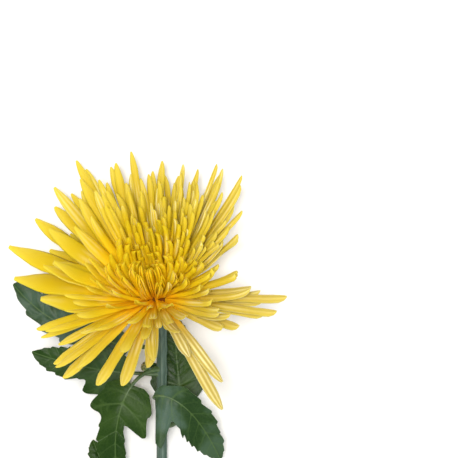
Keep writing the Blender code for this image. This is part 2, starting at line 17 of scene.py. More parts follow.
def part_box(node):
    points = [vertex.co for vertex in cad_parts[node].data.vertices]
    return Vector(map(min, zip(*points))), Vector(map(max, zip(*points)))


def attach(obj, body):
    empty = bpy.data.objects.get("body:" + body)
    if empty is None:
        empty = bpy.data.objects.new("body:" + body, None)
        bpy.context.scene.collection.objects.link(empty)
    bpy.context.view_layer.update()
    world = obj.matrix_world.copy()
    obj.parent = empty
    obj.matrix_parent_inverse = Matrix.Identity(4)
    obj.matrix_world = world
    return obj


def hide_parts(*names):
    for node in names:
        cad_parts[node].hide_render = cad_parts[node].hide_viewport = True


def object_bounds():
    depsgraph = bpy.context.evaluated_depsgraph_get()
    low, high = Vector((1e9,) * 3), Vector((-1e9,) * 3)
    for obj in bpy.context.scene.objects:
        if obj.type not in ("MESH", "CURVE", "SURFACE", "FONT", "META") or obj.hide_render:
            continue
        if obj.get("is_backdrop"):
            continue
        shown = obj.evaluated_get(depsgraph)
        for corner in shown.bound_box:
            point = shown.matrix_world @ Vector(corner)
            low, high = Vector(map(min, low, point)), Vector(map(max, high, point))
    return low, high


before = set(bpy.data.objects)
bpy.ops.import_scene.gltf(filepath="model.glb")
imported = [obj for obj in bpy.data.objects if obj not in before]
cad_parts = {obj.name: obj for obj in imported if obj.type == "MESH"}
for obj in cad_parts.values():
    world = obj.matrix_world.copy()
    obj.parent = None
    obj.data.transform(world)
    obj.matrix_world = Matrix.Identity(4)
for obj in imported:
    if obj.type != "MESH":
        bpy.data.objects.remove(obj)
cad_low, cad_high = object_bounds()
print("solids:", sorted(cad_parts))
print("box of the solids, mm:", [round(1000 * (b - a), 1) for a, b in zip(cad_low, cad_high)])

# %% [markdown]
# ## Units and the flower's own coordinates
# A florist measures a flower in millimetres, so the numbers below are millimetres too, counted
# from the point under the bloom's base. SHIFT carries them into the frame, where the whole flower
# is centred over the origin. A second frame belongs to the bloom: U to its right, V down its back
# and A along its axis, which nods up and away from the stem.

# %% Units and frames
MM = 0.001
SHIFT = Vector((5.7558, 77.9952, 0.0))
BASE_HEIGHT = 22.0
BLOOM_BASE = Vector((0.0, 0.0, BASE_HEIGHT)) + SHIFT
AXIS_TILT = math.radians(49)
AXIS_LEAN = math.radians(12)
GOLDEN_ANGLE = math.radians(137.508)


def bloom_turn(tilt, lean):
    """The bloom's frame as a rotation, with U, V and A as its columns."""
    u = Vector((math.cos(lean), math.sin(lean), 0.0))
    v = Vector((-math.cos(tilt) * math.sin(lean), math.cos(tilt) * math.cos(lean), -math.sin(tilt)))
    a = Vector((-math.sin(tilt) * math.sin(lean), math.sin(tilt) * math.cos(lean), math.cos(tilt)))
    return Matrix((u, v, a)).transposed()


BLOOM_TURN = bloom_turn(AXIS_TILT, AXIS_LEAN)
cup_low, cup_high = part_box("involucre")
to_cup = (cup_low + cup_high) / 2 / MM - BLOOM_BASE
print("the bloom's base lies", round(to_cup.length, 1), "mm from the cup's middle")

# %% [markdown]
# ## Writing node trees as formulas
# Geometry Nodes and materials are both graphs of small sums, and wiring them one link at a time
# hides the formula that they stand for. A Wire is one output of a node. Adding or multiplying two
# Wires puts a Math or a Vector Math node between them, so a tree reads like the sum that it does.
# The same helper serves for shapes and for materials.

# %% A wire that does sums
class Wire:
    """One output in a node tree. Arithmetic on it adds Math or Vector Math nodes."""

    def __init__(self, board, socket):
        self.board = board
        self.socket = socket

    def __add__(self, other):
        return self.board.calc("ADD", self, other)

    def __sub__(self, other):
        return self.board.calc("SUBTRACT", self, other)

    def __mul__(self, other):
        return self.board.calc("MULTIPLY", self, other)

    def __truediv__(self, other):
        return self.board.calc("DIVIDE", self, other)

    def __radd__(self, other):
        return self.board.calc("ADD", other, self)

    def __rsub__(self, other):
        return self.board.calc("SUBTRACT", other, self)

    def __rmul__(self, other):
        return self.board.calc("MULTIPLY", other, self)

    def __neg__(self):
        return self.board.calc("MULTIPLY", self, -1.0)

    def sine(self):
        return self.board.calc("SINE", self)

    def cosine(self):
        return self.board.calc("COSINE", self)

    def power(self, exponent):
        return self.board.calc("POWER", self, exponent)

    def above(self, floor=0.0):
        return self.board.calc("MAXIMUM", self, floor)

    def below(self, ceiling=1.0):
        return self.board.calc("MINIMUM", self, ceiling)

    def mix(self, a, b):
        """From a to b as the wire goes from 0 to 1."""
        return a + (b - a) * self

    def ramp(self, low, high, bottom=0.0, top=1.0):
        """The way from low to high, as a number from bottom to top, held at both ends."""
        return self.board.out("ShaderNodeMapRange", self, low, high, bottom, top, clamp=True)

    def smooth(self, low, high, bottom=0.0, top=1.0):
        """The same way, eased at both ends."""
        return self.board.out("ShaderNodeMapRange", self, low, high, bottom, top,
                              interpolation_type="SMOOTHSTEP")


# %% A board that the wires lie on
class Board:
    """A node tree that is written as formulas."""

    def __init__(self, tree):
        self.tree = tree

    def feed(self, socket, value):
        if isinstance(value, Wire):
            self.tree.links.new(value.socket, socket)
        elif value is not None:
            socket.default_value = value

    def fill(self, node, values):
        """Feeds a node's inputs by name, with wires or with plain values."""
        for name, value in values.items():
            self.feed(next(s for s in node.inputs if s.enabled and s.name == name), value)

    def node(self, kind, *values, named=None, **settings):
        """Adds a node. values fill its enabled inputs in order, and named fills them by name."""
        made = self.tree.nodes.new(kind)
        for key, value in settings.items():
            setattr(made, key, value)
        for socket, value in zip([s for s in made.inputs if s.enabled], values):
            self.feed(socket, value)
        self.fill(made, named or {})
        return made

    def outs(self, kind, *values, **settings):
        """Adds a node and gives all its outputs."""
        return [Wire(self, s) for s in self.node(kind, *values, **settings).outputs]

    def out(self, kind, *values, name=None, named=None, **settings):
        """Adds a node and gives one of its outputs, the first unless it is named."""
        made = self.node(kind, *values, named=named, **settings)
        outputs = [s for s in made.outputs if s.enabled and (name is None or s.name == name)]
        return Wire(self, outputs[0])

    def calc(self, operation, *values):
        """A Math node, or a Vector Math node where a wire carries a vector."""
        vectors = [isinstance(v, Wire) and v.socket.type == "VECTOR" for v in values]
        if not any(vectors):
            return self.out("ShaderNodeMath", *values, operation=operation)
        if operation == "MULTIPLY" and not all(vectors):
            vector, scale = (values[0], values[1]) if vectors[0] else (values[1], values[0])
            return self.out("ShaderNodeVectorMath", vector, scale, operation="SCALE")
        return self.out("ShaderNodeVectorMath", *values, operation=operation)

    def vector(self, x, y, z):
        return self.out("ShaderNodeCombineXYZ", x, y, z)

    def parts(self, vector):
        return self.outs("ShaderNodeSeparateXYZ", vector)


# %% A board for shapes
class ShapeBoard(Board):
    """A Geometry Nodes tree with named inputs."""

    def __init__(self, name):
        super().__init__(bpy.data.node_groups.new(name, "GeometryNodeTree"))
        self.identifiers = {}
        self.entry = self.tree.nodes.new("NodeGroupInput")
        self.exit = self.tree.nodes.new("NodeGroupOutput")
        self.tree.interface.new_socket(name="Geometry", in_out="OUTPUT",
                                       socket_type="NodeSocketGeometry")

    def given(self, **kinds):
        """Makes named inputs of the tree, each of its kind."""
        for name, kind in kinds.items():
            item = self.tree.interface.new_socket(name=name.replace("_", " "), in_out="INPUT",
                                                  socket_type="NodeSocket" + kind)
            self.identifiers[name] = item.identifier
            yield Wire(self, next(s for s in self.entry.outputs if s.identifier == item.identifier))

    def read(self, name, data_type="FLOAT"):
        """An attribute of the geometry by its name."""
        return self.out("GeometryNodeInputNamedAttribute", name, name="Attribute",
                        data_type=data_type)

    def reads(self, *names):
        """Several number attributes at once."""
        return [self.read(name) for name in names]

    def keep(self, geometry, name, value, data_type="FLOAT"):
        """Stores a value on the geometry's points under a name."""
        return self.out("GeometryNodeStoreNamedAttribute", geometry, True, name, value,
                        data_type=data_type, domain="POINT")

    def rotated(self, vector, axis, angle):
        """vector turned about axis by angle."""
        rotation = self.out("FunctionNodeAxisAngleToRotation", axis, angle)
        return self.out("FunctionNodeRotateVector", vector, rotation)

    def nodded(self, vector, turn):
        """vector turned the way that a bloom or a bud nods."""
        rotation = self.out("FunctionNodeEulerToRotation", turn)
        return self.out("FunctionNodeRotateVector", vector, rotation)

    def tube(self, curves, sides, radius):
        """Sweeps a ring along curves. around says where on the ring a point of the tube lies."""
        ring = self.out("GeometryNodeCurvePrimitiveCircle", sides, name="Curve")
        ring = self.keep(ring, "around", self.out("GeometryNodeInputIndex") / sides * math.tau)
        return self.out("GeometryNodeCurveToMesh", curves, ring, radius, True)

    def finish(self, geometry, material, forget):
        """Ends the tree in plain, smooth, coloured faces and drops the helper attributes."""
        for name in forget:
            geometry = self.out("GeometryNodeRemoveAttribute", geometry, name)
        geometry = self.out("GeometryNodeSetShadeSmooth", geometry, True, True)
        geometry = self.out("GeometryNodeRealizeInstances", geometry)
        geometry = self.out("GeometryNodeSetMaterial", geometry, True, material)
        self.tree.links.new(geometry.socket, self.exit.inputs[0])


# %% Meshes and objects
def plain_mesh(name, places, edges=(), faces=(), **attributes):
    """A mesh from lists, with a number on its points for each further argument."""
    mesh = bpy.data.meshes.new(name)
    mesh.from_pydata(places, edges, faces)
    for key, values in attributes.items():
        mesh.attributes.new(key, "FLOAT", "POINT").data.foreach_set("value", values)
    return mesh


def as_columns(plan):
    """A plan of dicts as one list for each key."""
    return {key: [row[key] for row in plan] for key in plan[0]}


def placed(name, data):
    """A new object in the scene, at the origin."""
    thing = bpy.data.objects.new(name, data)
    bpy.context.scene.collection.objects.link(thing)
    return thing


def finished_mesh(thing):
    """What an object's modifiers make of its mesh, as a plain mesh."""
    bpy.context.view_layer.update()
    graph = bpy.context.evaluated_depsgraph_get()
    return bpy.data.meshes.new_from_object(thing.evaluated_get(graph))


# %% Growing a plain mesh from a tree
def grow(name, mesh, board, **values):
    """Runs a tree on a mesh and keeps the result as a plain mesh object."""
    holder = placed(name + "_plan", mesh)
    modifier = holder.modifiers.new("Grow", "NODES")
    modifier.node_group = board.tree
    for key, value in values.items():
        modifier[board.identifiers[key]] = value
    grown = finished_mesh(holder)
    grown.name = name
    bpy.data.objects.remove(holder)
    return placed(name, grown)


def settle(piece, slot, *nodes):
    """Ties a finished piece to the frame: its body and the nodes it stands for. slot is not used."""
    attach(piece, "root")
    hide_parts(*nodes)
    bm = bmesh.new()
    bm.from_mesh(piece.data)
    volume = bm.calc_volume(signed=True)
    faces = len(piece.data.polygons)
    triangles = sum(len(p.vertices) - 2 for p in piece.data.polygons)
    open_edges = sum(1 for e in bm.edges if len(e.link_faces) != 2)
    bm.free()
    print(f"{piece.name}: {faces} faces, {triangles} triangles, {volume * 1e6:.2f} ml, "
          f"{open_edges} open edges")


# %% [markdown]
# ## Camera, floor and light
# The photograph looks straight at the flower from over a metre away, so the flower lies on a pale
# floor and the camera hangs above it, with the stem running out at the bottom of the picture. One
# pixel of the photograph is about half a millimetre at the height of the bloom's base.

# %% The camera
PICTURE_WIDTH = 232.2
CAMERA_DISTANCE = 1300.0
CAMERA_PLACE = Vector((36.0, 40.6, BASE_HEIGHT + CAMERA_DISTANCE)) + SHIFT
SENSOR = 36.0
NEAREST_SEEN, FARTHEST_SEEN = 0.1, 20.0

camera_data = bpy.data.cameras.new("overhead")
camera_data.sensor_width = SENSOR
camera_data.lens = SENSOR * CAMERA_DISTANCE / PICTURE_WIDTH
camera_data.clip_start = NEAREST_SEEN
camera_data.clip_end = FARTHEST_SEEN
camera = placed("overhead", camera_data)
camera.location = CAMERA_PLACE * MM
bpy.context.scene.camera = camera
print("lens, mm:", round(camera_data.lens, 1))

# %% The floor
FLOOR_HALF = 3.0
FLOOR_CORNERS = ((-1, -1), (1, -1), (1, 1), (-1, 1))
PAPER_WHITE = (0.9, 0.9, 0.9, 1.0)


def shader_board(name):
    """A material with a bare Principled shader, and the board to write its formulas on."""
    material = bpy.data.materials.new(name)
    material.use_nodes = True
    return material, Board(material.node_tree), material.node_tree.nodes["Principled BSDF"]


corners = [(x * FLOOR_HALF, y * FLOOR_HALF, 0) for x, y in FLOOR_CORNERS]
floor = placed("floor", plain_mesh("floor", corners, faces=[(0, 1, 2, 3)]))
paper, board, shader = shader_board("white_paper")
board.fill(shader, {"Base Color": PAPER_WHITE, "Roughness": 0.9})
floor.data.materials.append(paper)
floor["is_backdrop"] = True

# %% The lights
LIGHT_AIM = Vector((0.0, 0.06, 0.0))
# Each square light's place and side in metres, its watts and its colour
LIGHTS = {
    "key": (Vector((-0.12, 0.17, 1.9)), 0.45, 25.0, (1.0, 0.98, 0.95)),
    "fill": (Vector((0.9, -0.5, 1.5)), 1.4, 4.0, (0.95, 0.98, 1.0)),
}
WORLD_LIGHT = {"Color": (1.0, 0.98, 0.96, 1.0), "Strength": 0.86}

for name, (place, side, watts, colour) in LIGHTS.items():
    light = bpy.data.lights.new(name, "AREA")
    light.size = side
    light.energy = watts
    light.color = colour
    lamp = placed(name, light)
    lamp.location = place
    lamp.rotation_euler = (LIGHT_AIM - place).to_track_quat("-Z", "Y").to_euler()
world = bpy.data.worlds.new("studio")
world.use_nodes = True
Board(world.node_tree).fill(world.node_tree.nodes["Background"], WORLD_LIGHT)
bpy.context.scene.world = world
bpy.context.scene.view_settings.view_transform = "Standard"

# %% [markdown]
# ## Where each ray floret grows
# A chrysanthemum packs its florets round the head by the golden angle, from short, hooked quills in
# the middle to long, open straps at the rim. The plan below is that rule with the seeded scatter
# that the solids have, so the same florets reach the same places. It also tells how the bloom
# differs round its axis: long, upright florets at the back and the right, a short, flat fan at the
# lower right, and a handful of long strays.

# %% The head and the growth rule
HEAD_FLOOR = 8.5
HEAD_RADIUS = 9.0
HEAD_RISE = 5.0
HEAD_SPRING = 10.2
DISC_SHARE = 0.27
FLORET_COUNT = 215
FLORET_SEED = 7
SHORTEST_FLORET = 20.0
FLORET_GROWTH = 49.0
NARROWEST_FLORET = 0.95
FLORET_WIDENING = 1.75
ROOT_DEPTH = 2.0

# Where the outer florets part: azimuth and half width of the gap, in degrees
PARTINGS = ((-4, 15), (-61, 10), (-90, 8), (177, 12), (103, 5), (-119.5, 6), (-134, 5))

# How the florets differ round the bloom: azimuth, share of the length, degrees further out
SECTORS = (
    (-180, 0.66, 3), (-171, 0.58, 3), (-167, 0.66, 4), (-164.5, 0.84, 5), (-150, 0.84, 8),
    (-126, 0.85, 9), (-112, 0.84, 9), (-100, 0.64, 6), (-78, 0.62, 4), (-60, 0.66, 0),
    (-40, 0.66, 2), (-26, 0.76, 8), (-14, 0.64, 9), (0, 0.48, -8), (10, 0.64, -16),
    (20, 0.86, -23), (30, 0.98, -26), (60, 0.93, -31), (76, 0.89, -33), (90, 0.96, -33),
    (115, 1.02, -28), (135, 0.96, -20), (142, 0.93, -16), (147, 0.80, -13), (153, 0.80, -9),
    (158, 0.76, -6), (163, 0.86, -4), (171, 0.72, 0), (180, 0.66, 3),
)

# Outer florets of their own: azimuth, length, half width, polar angles at the root and the tip
STRAYS = (
    (-74, 73, 2.9, 95, 108), (-69, 61, 2.9, 93, 103), (-76.5, 41, 2.7, 88, 98),
    (-20, 60, 2.7, 88, 91), (-28, 57, 2.6, 90, 93), (-17, 42, 2.4, 84, 86),
    (-44.5, 45, 2.6, 86, 93), (11.5, 44, 2.2, 70, 60), (31, 67, 2.0, 62, 53),
    (42, 66, 2.0, 55, 47), (57, 61, 2.0, 48, 40), (87, 68, 2.2, 50, 43), (99, 63, 2.3, 52, 43),
    (112, 74, 2.5, 58, 48), (126, 69, 2.5, 62, 52), (137, 67, 2.7, 74, 64), (150, 72, 2.9, 80, 72),
    (157, 66, 3.0, 86, 86), (-177, 53, 2.7, 92, 96), (-152, 54, 2.8, 93, 98),
    (-142, 57, 2.8, 93, 98), (-124.5, 54, 2.8, 92, 97), (-112.5, 52, 2.8, 92, 97),
    (-100.5, 37, 2.5, 90, 97),
    (46, 52, 2.4, 84, 80), (66, 55, 2.4, 84, 78), (84, 52, 2.4, 86, 80), (106, 56, 2.4, 84, 78),
    (126, 54, 2.4, 84, 80),
)


# %% Partings and sectors
def parted(azimuth, strength):
    """Moves an azimuth away from the middle of each parting near it."""
    for middle, half_width in PARTINGS:
        offset = (azimuth - math.radians(middle) + math.pi) % math.tau - math.pi
        width = math.radians(half_width)
        shift = strength * width * math.exp(-abs(offset) / width)
        azimuth += math.copysign(shift, offset)
    return azimuth


def sector(azimuth):
    """The share of the length and the angle further out at an azimuth."""
    angle = (math.degrees(azimuth) + 180) % 360 - 180
    for (a0, l0, p0), (a1, l1, p1) in zip(SECTORS, SECTORS[1:]):
        if angle <= a1:
            share = (angle - a0) / (a1 - a0)
            ease = share * share * (3 - 2 * share)
            return l0 + (l1 - l0) * ease, math.radians(p0 + (p1 - p0) * ease)
    return SECTORS[-1][1], 0.0


def on_head(rank):
    """The radius and height on the head for a rank from 0 at the disc's edge to 1 at the rim."""
    polar = math.acos(1 - (DISC_SHARE + rank * (1 - DISC_SHARE)) ** 2)
    return HEAD_RADIUS * math.sin(polar), HEAD_SPRING + HEAD_RISE * math.cos(polar)


# %% The spiral that a round of florets follows
def floret_round(count, seed, turn, scatter, parting, lengths, start, end, sway, hook, roll,
                 widths=None, shorter=1.0, narrower=1.0):
    """A round of florets from the middle outwards. Angles are in degrees, but turn and roll in
    radians. start, end and hook end with their scatter, and sway and roll are scatter alone."""
    rng = random.Random(seed)

    def near(middle, deviation):
        """An angle drawn near a middle, in radians."""
        return math.radians(middle + rng.gauss(0, deviation))

    made = []
    for index in range(count):
        share = math.sqrt((index + 0.5) / count)
        if share < DISC_SHARE:
            continue
        rank = (share - DISC_SHARE) / (1 - DISC_SHARE)
        azimuth = index * GOLDEN_ANGLE + turn + near(0, scatter)
        azimuth = parted(azimuth, parting * rank**1.5)
        reach, outward = sector(azimuth)
        length = (SHORTEST_FLORET + FLORET_GROWTH * rank) * rng.uniform(*lengths) * shorter
        width = NARROWEST_FLORET + FLORET_WIDENING * rank**0.9
        made.append(dict(
            rank=rank, azimuth=azimuth, length=length * (1 + (reach - 1) * min(1.0, 2 * rank)),
            start=near(start[0] + start[1] * rank, start[2]) + outward * rank,
            end=near(end[0] + end[1] * rank**1.1, end[2]) + outward * rank,
            sway=near(0, sway),
            hook=near(hook[0] * (1 - rank), hook[1]),
            half_width=width * (rng.uniform(*widths) if widths else narrower),
            roll=rng.gauss(0, roll)))
    return made


def by_eye(azimuth, rank, length, half_width, start, end, hook):
    """A floret that was given one by one, with its angles in degrees but for the hook."""
    return dict(rank=rank, azimuth=math.radians(azimuth), length=length, start=math.radians(start),
                end=math.radians(end), sway=0.0, hook=hook, half_width=half_width, roll=0.0)


# %% The main florets, which the solids have too
STRAY_HOOK = 0.05

main_florets = floret_round(
    FLORET_COUNT, FLORET_SEED, turn=0.0, scatter=2.5, parting=0.92, lengths=(0.88, 1.04),
    start=(8, 80, 1.5), end=(-18, 106, 5), sway=4, hook=(15, 4), roll=0.2, widths=(0.9, 1.1))
main_florets += [by_eye(azimuth, 1.0, *rest, STRAY_HOOK) for azimuth, *rest in STRAYS]
print(len(main_florets), "florets stand where the solids have them")

# %% [markdown]
# The solids carry as many florets as their triangles allow. The solids carry fewer florets than a
# real head has, so a second round of narrow ones is drawn between them, turned by half a golden
# angle and a little shorter. On the left and in front the straps are broad and hide what lies under
# them, so there some are left out.
# The crown is densest at its upper right, so there every long floret gets a narrower twin close by.
# A few more are listed one by one: short fingers in front of the eye that point at the viewer, broad
# and slim straps that fill the left, and two short straps over the top of the stem.

# %% The florets between
EXTRA_COUNT = 150
EXTRA_SEED = 11
# Where florets are left out: azimuths from and to, ranks from and to, share of the main ones kept
THINNED = (
    (125, 215, 0.35, 0.88, 0.30), (125, 215, 0.88, 0.985, 0.35), (215, 265, 0.35, 0.985, 0.60),
    (266, 308, 0.40, 0.985, 0.15), (308, 358, 0.55, 0.95, 0.85),
)
TWIN_SECTOR = (12, 80)
TWIN_LOWEST_RANK, TWIN_HIGHEST_RANK = 0.4, 0.97
TWIN_SEED = 23
# The ones listed one by one: azimuth, rank, length, half width, polar angles at the root and the tip
SINGLE_FLORETS = (
    (-62, 0.34, 14, 1.5, 50, 5), (-118, 0.34, 13, 1.4, 50, 0), (-84, 0.42, 20, 1.6, 78, 34),
    (-40, 0.36, 16, 1.5, 50, 10), (-142, 0.38, 15, 1.4, 52, 12), (166, 0.97, 50, 3.6, 88, 92),
    (-171, 1.0, 52, 2.3, 93, 97), (-161, 1.0, 46, 2.6, 93, 97), (140, 0.97, 55, 3.2, 84, 80),
    (-91, 0.80, 19, 2.1, 84, 92), (-82, 0.72, 23, 2.2, 84, 90),
)
SINGLE_HOOK = 0.1

florets_between = floret_round(
    EXTRA_COUNT, EXTRA_SEED, turn=0.5 * GOLDEN_ANGLE, scatter=4, parting=1.0, lengths=(0.78, 1.0),
    start=(6, 78, 3), end=(-18, 102, 7), sway=6, hook=(18, 5), roll=0.3, shorter=0.93,
    narrower=0.86)


def thinned(main, between):
    """Both rounds without those that broad straps hide, and without crowding in front."""
    rng = random.Random(EXTRA_SEED)
    kept = []
    for number, floret in enumerate(main + between):
        azimuth, chance = math.degrees(floret["azimuth"]) % 360, rng.random()
        stays = True
        for low, high, low_rank, high_rank, share in THINNED:
            if low < azimuth < high and low_rank < floret["rank"] < high_rank:
                stays = number < len(main) and chance < share
        if stays:
            kept.append(floret)
    return kept


def twins(florets):
    """A narrower neighbour for each long floret of the crowded sector."""
    rng = random.Random(TWIN_SEED)
    low, high = TWIN_SECTOR
    made = []
    for floret in florets:
        azimuth = math.degrees(floret["azimuth"]) % 360
        if floret["rank"] < TWIN_LOWEST_RANK or not low < azimuth < high:
            continue
        made.append(dict(
            floret,
            azimuth=floret["azimuth"] + math.radians(rng.gauss(0, 3.5)),
            length=floret["length"] * rng.uniform(0.72, 0.97),
            start=floret["start"] + math.radians(rng.gauss(-1, 3)),
            end=floret["end"] + math.radians(rng.gauss(-2, 5)),
            sway=math.radians(rng.gauss(0, 6)),
            rank=min(TWIN_HIGHEST_RANK,
                     max(TWIN_LOWEST_RANK, floret["rank"] + rng.gauss(0, 0.06))),
        ))
    return made


florets = thinned(main_florets, florets_between)
florets += twins(florets) + [by_eye(*row, SINGLE_HOOK) for row in SINGLE_FLORETS]
print(len(florets), "florets in all")

# %% [markdown]
# Round the bloom the florets don't look alike. On the left they are broad, flat straps that taper
# to a point and lap over each other like tiles. Towards the viewer and at the lower right they stay
# broad up to a round end. At the upper right they are slim quills, and near the eye all are fingers
# with a round, hooked tip. Those right round the eye are shorter, so that it lies open.

# %% How the florets look round the bloom
# Azimuth, width, curl, bluntness of the tip, tan (with the painted groove shade), how raised the
# ribs are (with their painted highlight)
LOOKS = (
    (-180, 1.30, 0.40, 0.40, 0.00, 0.15), (-162, 1.15, 0.50, 0.50, 0.00, 0.25),
    (-148, 1.20, 0.60, 0.60, 0.10, 0.40), (-112, 1.22, 0.75, 0.60, 0.30, 0.70),
    (-84, 1.06, 0.80, 0.50, 0.45, 0.80), (-76, 1.10, 0.90, 0.45, 0.95, 1.20),
    (-68, 1.10, 0.90, 0.45, 0.80, 1.20), (-60, 1.00, 0.95, 0.70, 0.45, 1.00),
    (-48, 1.25, 1.55, 0.90, 0.50, 0.60), (-12, 1.30, 1.65, 0.95, 0.50, 0.60),
    (15, 1.00, 1.45, 0.90, 0.25, 1.00), (50, 0.80, 1.25, 0.85, 0.10, 1.20),
    (80, 0.90, 1.15, 0.75, 0.10, 1.00), (110, 1.10, 0.80, 0.55, 0.05, 0.70),
    (140, 1.75, 0.45, 0.30, 0.00, 0.30), (158, 2.55, 0.32, -0.30, 0.00, 0.15),
    (170, 2.50, 0.34, -0.30, 0.00, 0.15), (180, 1.30, 0.40, 0.40, 0.00, 0.15),
)
# Fingers: up to which rank, and how much wider, more hooked and more curled the first of them are
FINGER_REACH = 0.55
FINGER_WIDENING = 0.55
FINGER_HOOK = math.radians(24)
FINGER_CURL = 3.3
# How much shorter a floret at the eye's edge is, and up to which rank that fades
EYE_OPENING = 0.5
EYE_REACH = 0.16
# How far the florets towards the viewer open, round which rank and over how wide a range
VIEWER_AZIMUTH = math.radians(-35)
FRONT_OPENING = math.radians(30)
FRONT_RANK = 0.35
FRONT_SPREAD = 0.22
# From which rank on the florets are tanned
TAN_FROM = 0.6


def looks(azimuth):
    """The width, curl, bluntness, tan and height of the ribs at an azimuth."""
    angle = (math.degrees(azimuth) + 180) % 360 - 180
    marks, *columns = zip(*LOOKS)
    return [float(np.interp(angle, marks, column)) for column in columns]


look_rng = random.Random(EXTRA_SEED)
for floret in florets:
    rank = floret["rank"]
    width, curl, blunt, tan, ribs = looks(floret["azimuth"])
    finger = max(0.0, 1 - rank / FINGER_REACH)
    facing_viewer = max(0.0, math.cos(floret["azimuth"] - VIEWER_AZIMUTH))
    in_front = math.exp(-(((rank - FRONT_RANK) / FRONT_SPREAD) ** 2))
    open_curl = (2.2 - 1.45 * rank**0.8) * curl
    full_curl = open_curl + (FINGER_CURL - open_curl) * finger**0.6
    floret["shade"] = look_rng.random()
    floret["ribs"] = ribs * (1 - 0.85 * min(1.0, 1.6 * finger))
    floret["end"] += FRONT_OPENING * facing_viewer * in_front
    floret["tan"] = tan * look_rng.uniform(0.7, 1.05) * max(0.0, rank - TAN_FROM) / (1 - TAN_FROM)
    floret["half_width"] *= (width + (1 - width) * finger) * (1 + FINGER_WIDENING * finger)
    floret["curl"] = look_rng.uniform(0.9, 1.1) * full_curl
    floret["blunt"] = min(1.0, max(0.0, blunt + (1 - blunt) * finger + look_rng.gauss(0, 0.1)))
    floret["length"] *= 1 - EYE_OPENING * max(0.0, 1 - rank / EYE_REACH)
    floret["hook"] += FINGER_HOOK * facing_viewer * (1 - 0.6 * rank) * look_rng.uniform(0.4, 1.3)
print("the longest floret:", round(max(f["length"] for f in florets), 1), "mm")

# %% [markdown]
# ## The shape of one floret
# A ray floret starts as a narrow quill at its root and opens into a strap, with its edges curled
# towards the bloom's axis, two rounded ribs along it and a blunt tip. Geometry Nodes build them all
# at once: every point of the plan is doubled into stations, each station steps forward along the
# floret's own bend, the stations become curves and the curves get a ring of points each. The last
# step bends each ring round an arc, which is the curl, and raises the ribs.

# %% The tree that grows florets
# Stations lie closer together towards the tip, and the hook takes up the last of the length
STATION_CROWDING = 1.55
HOOK_FROM = 0.7
# A quill's width as a share of the strap's, and where along it the strap is fully open
QUILL_WIDTH = 0.38
STRAP_FROM = 0.45
# Where a pointed and a blunt tip begin, and how much of the width each loses by its end
POINTED_FROM, BLUNT_FROM = 0.70, 0.93
POINTED_LOSS, BLUNT_LOSS = 0.80, 0.96
# The most that an edge curls round, and the curl from which on its arc stays as wide, in radians
HIGHEST_CURL = 3.05
WIDEST_CURL = 1.57


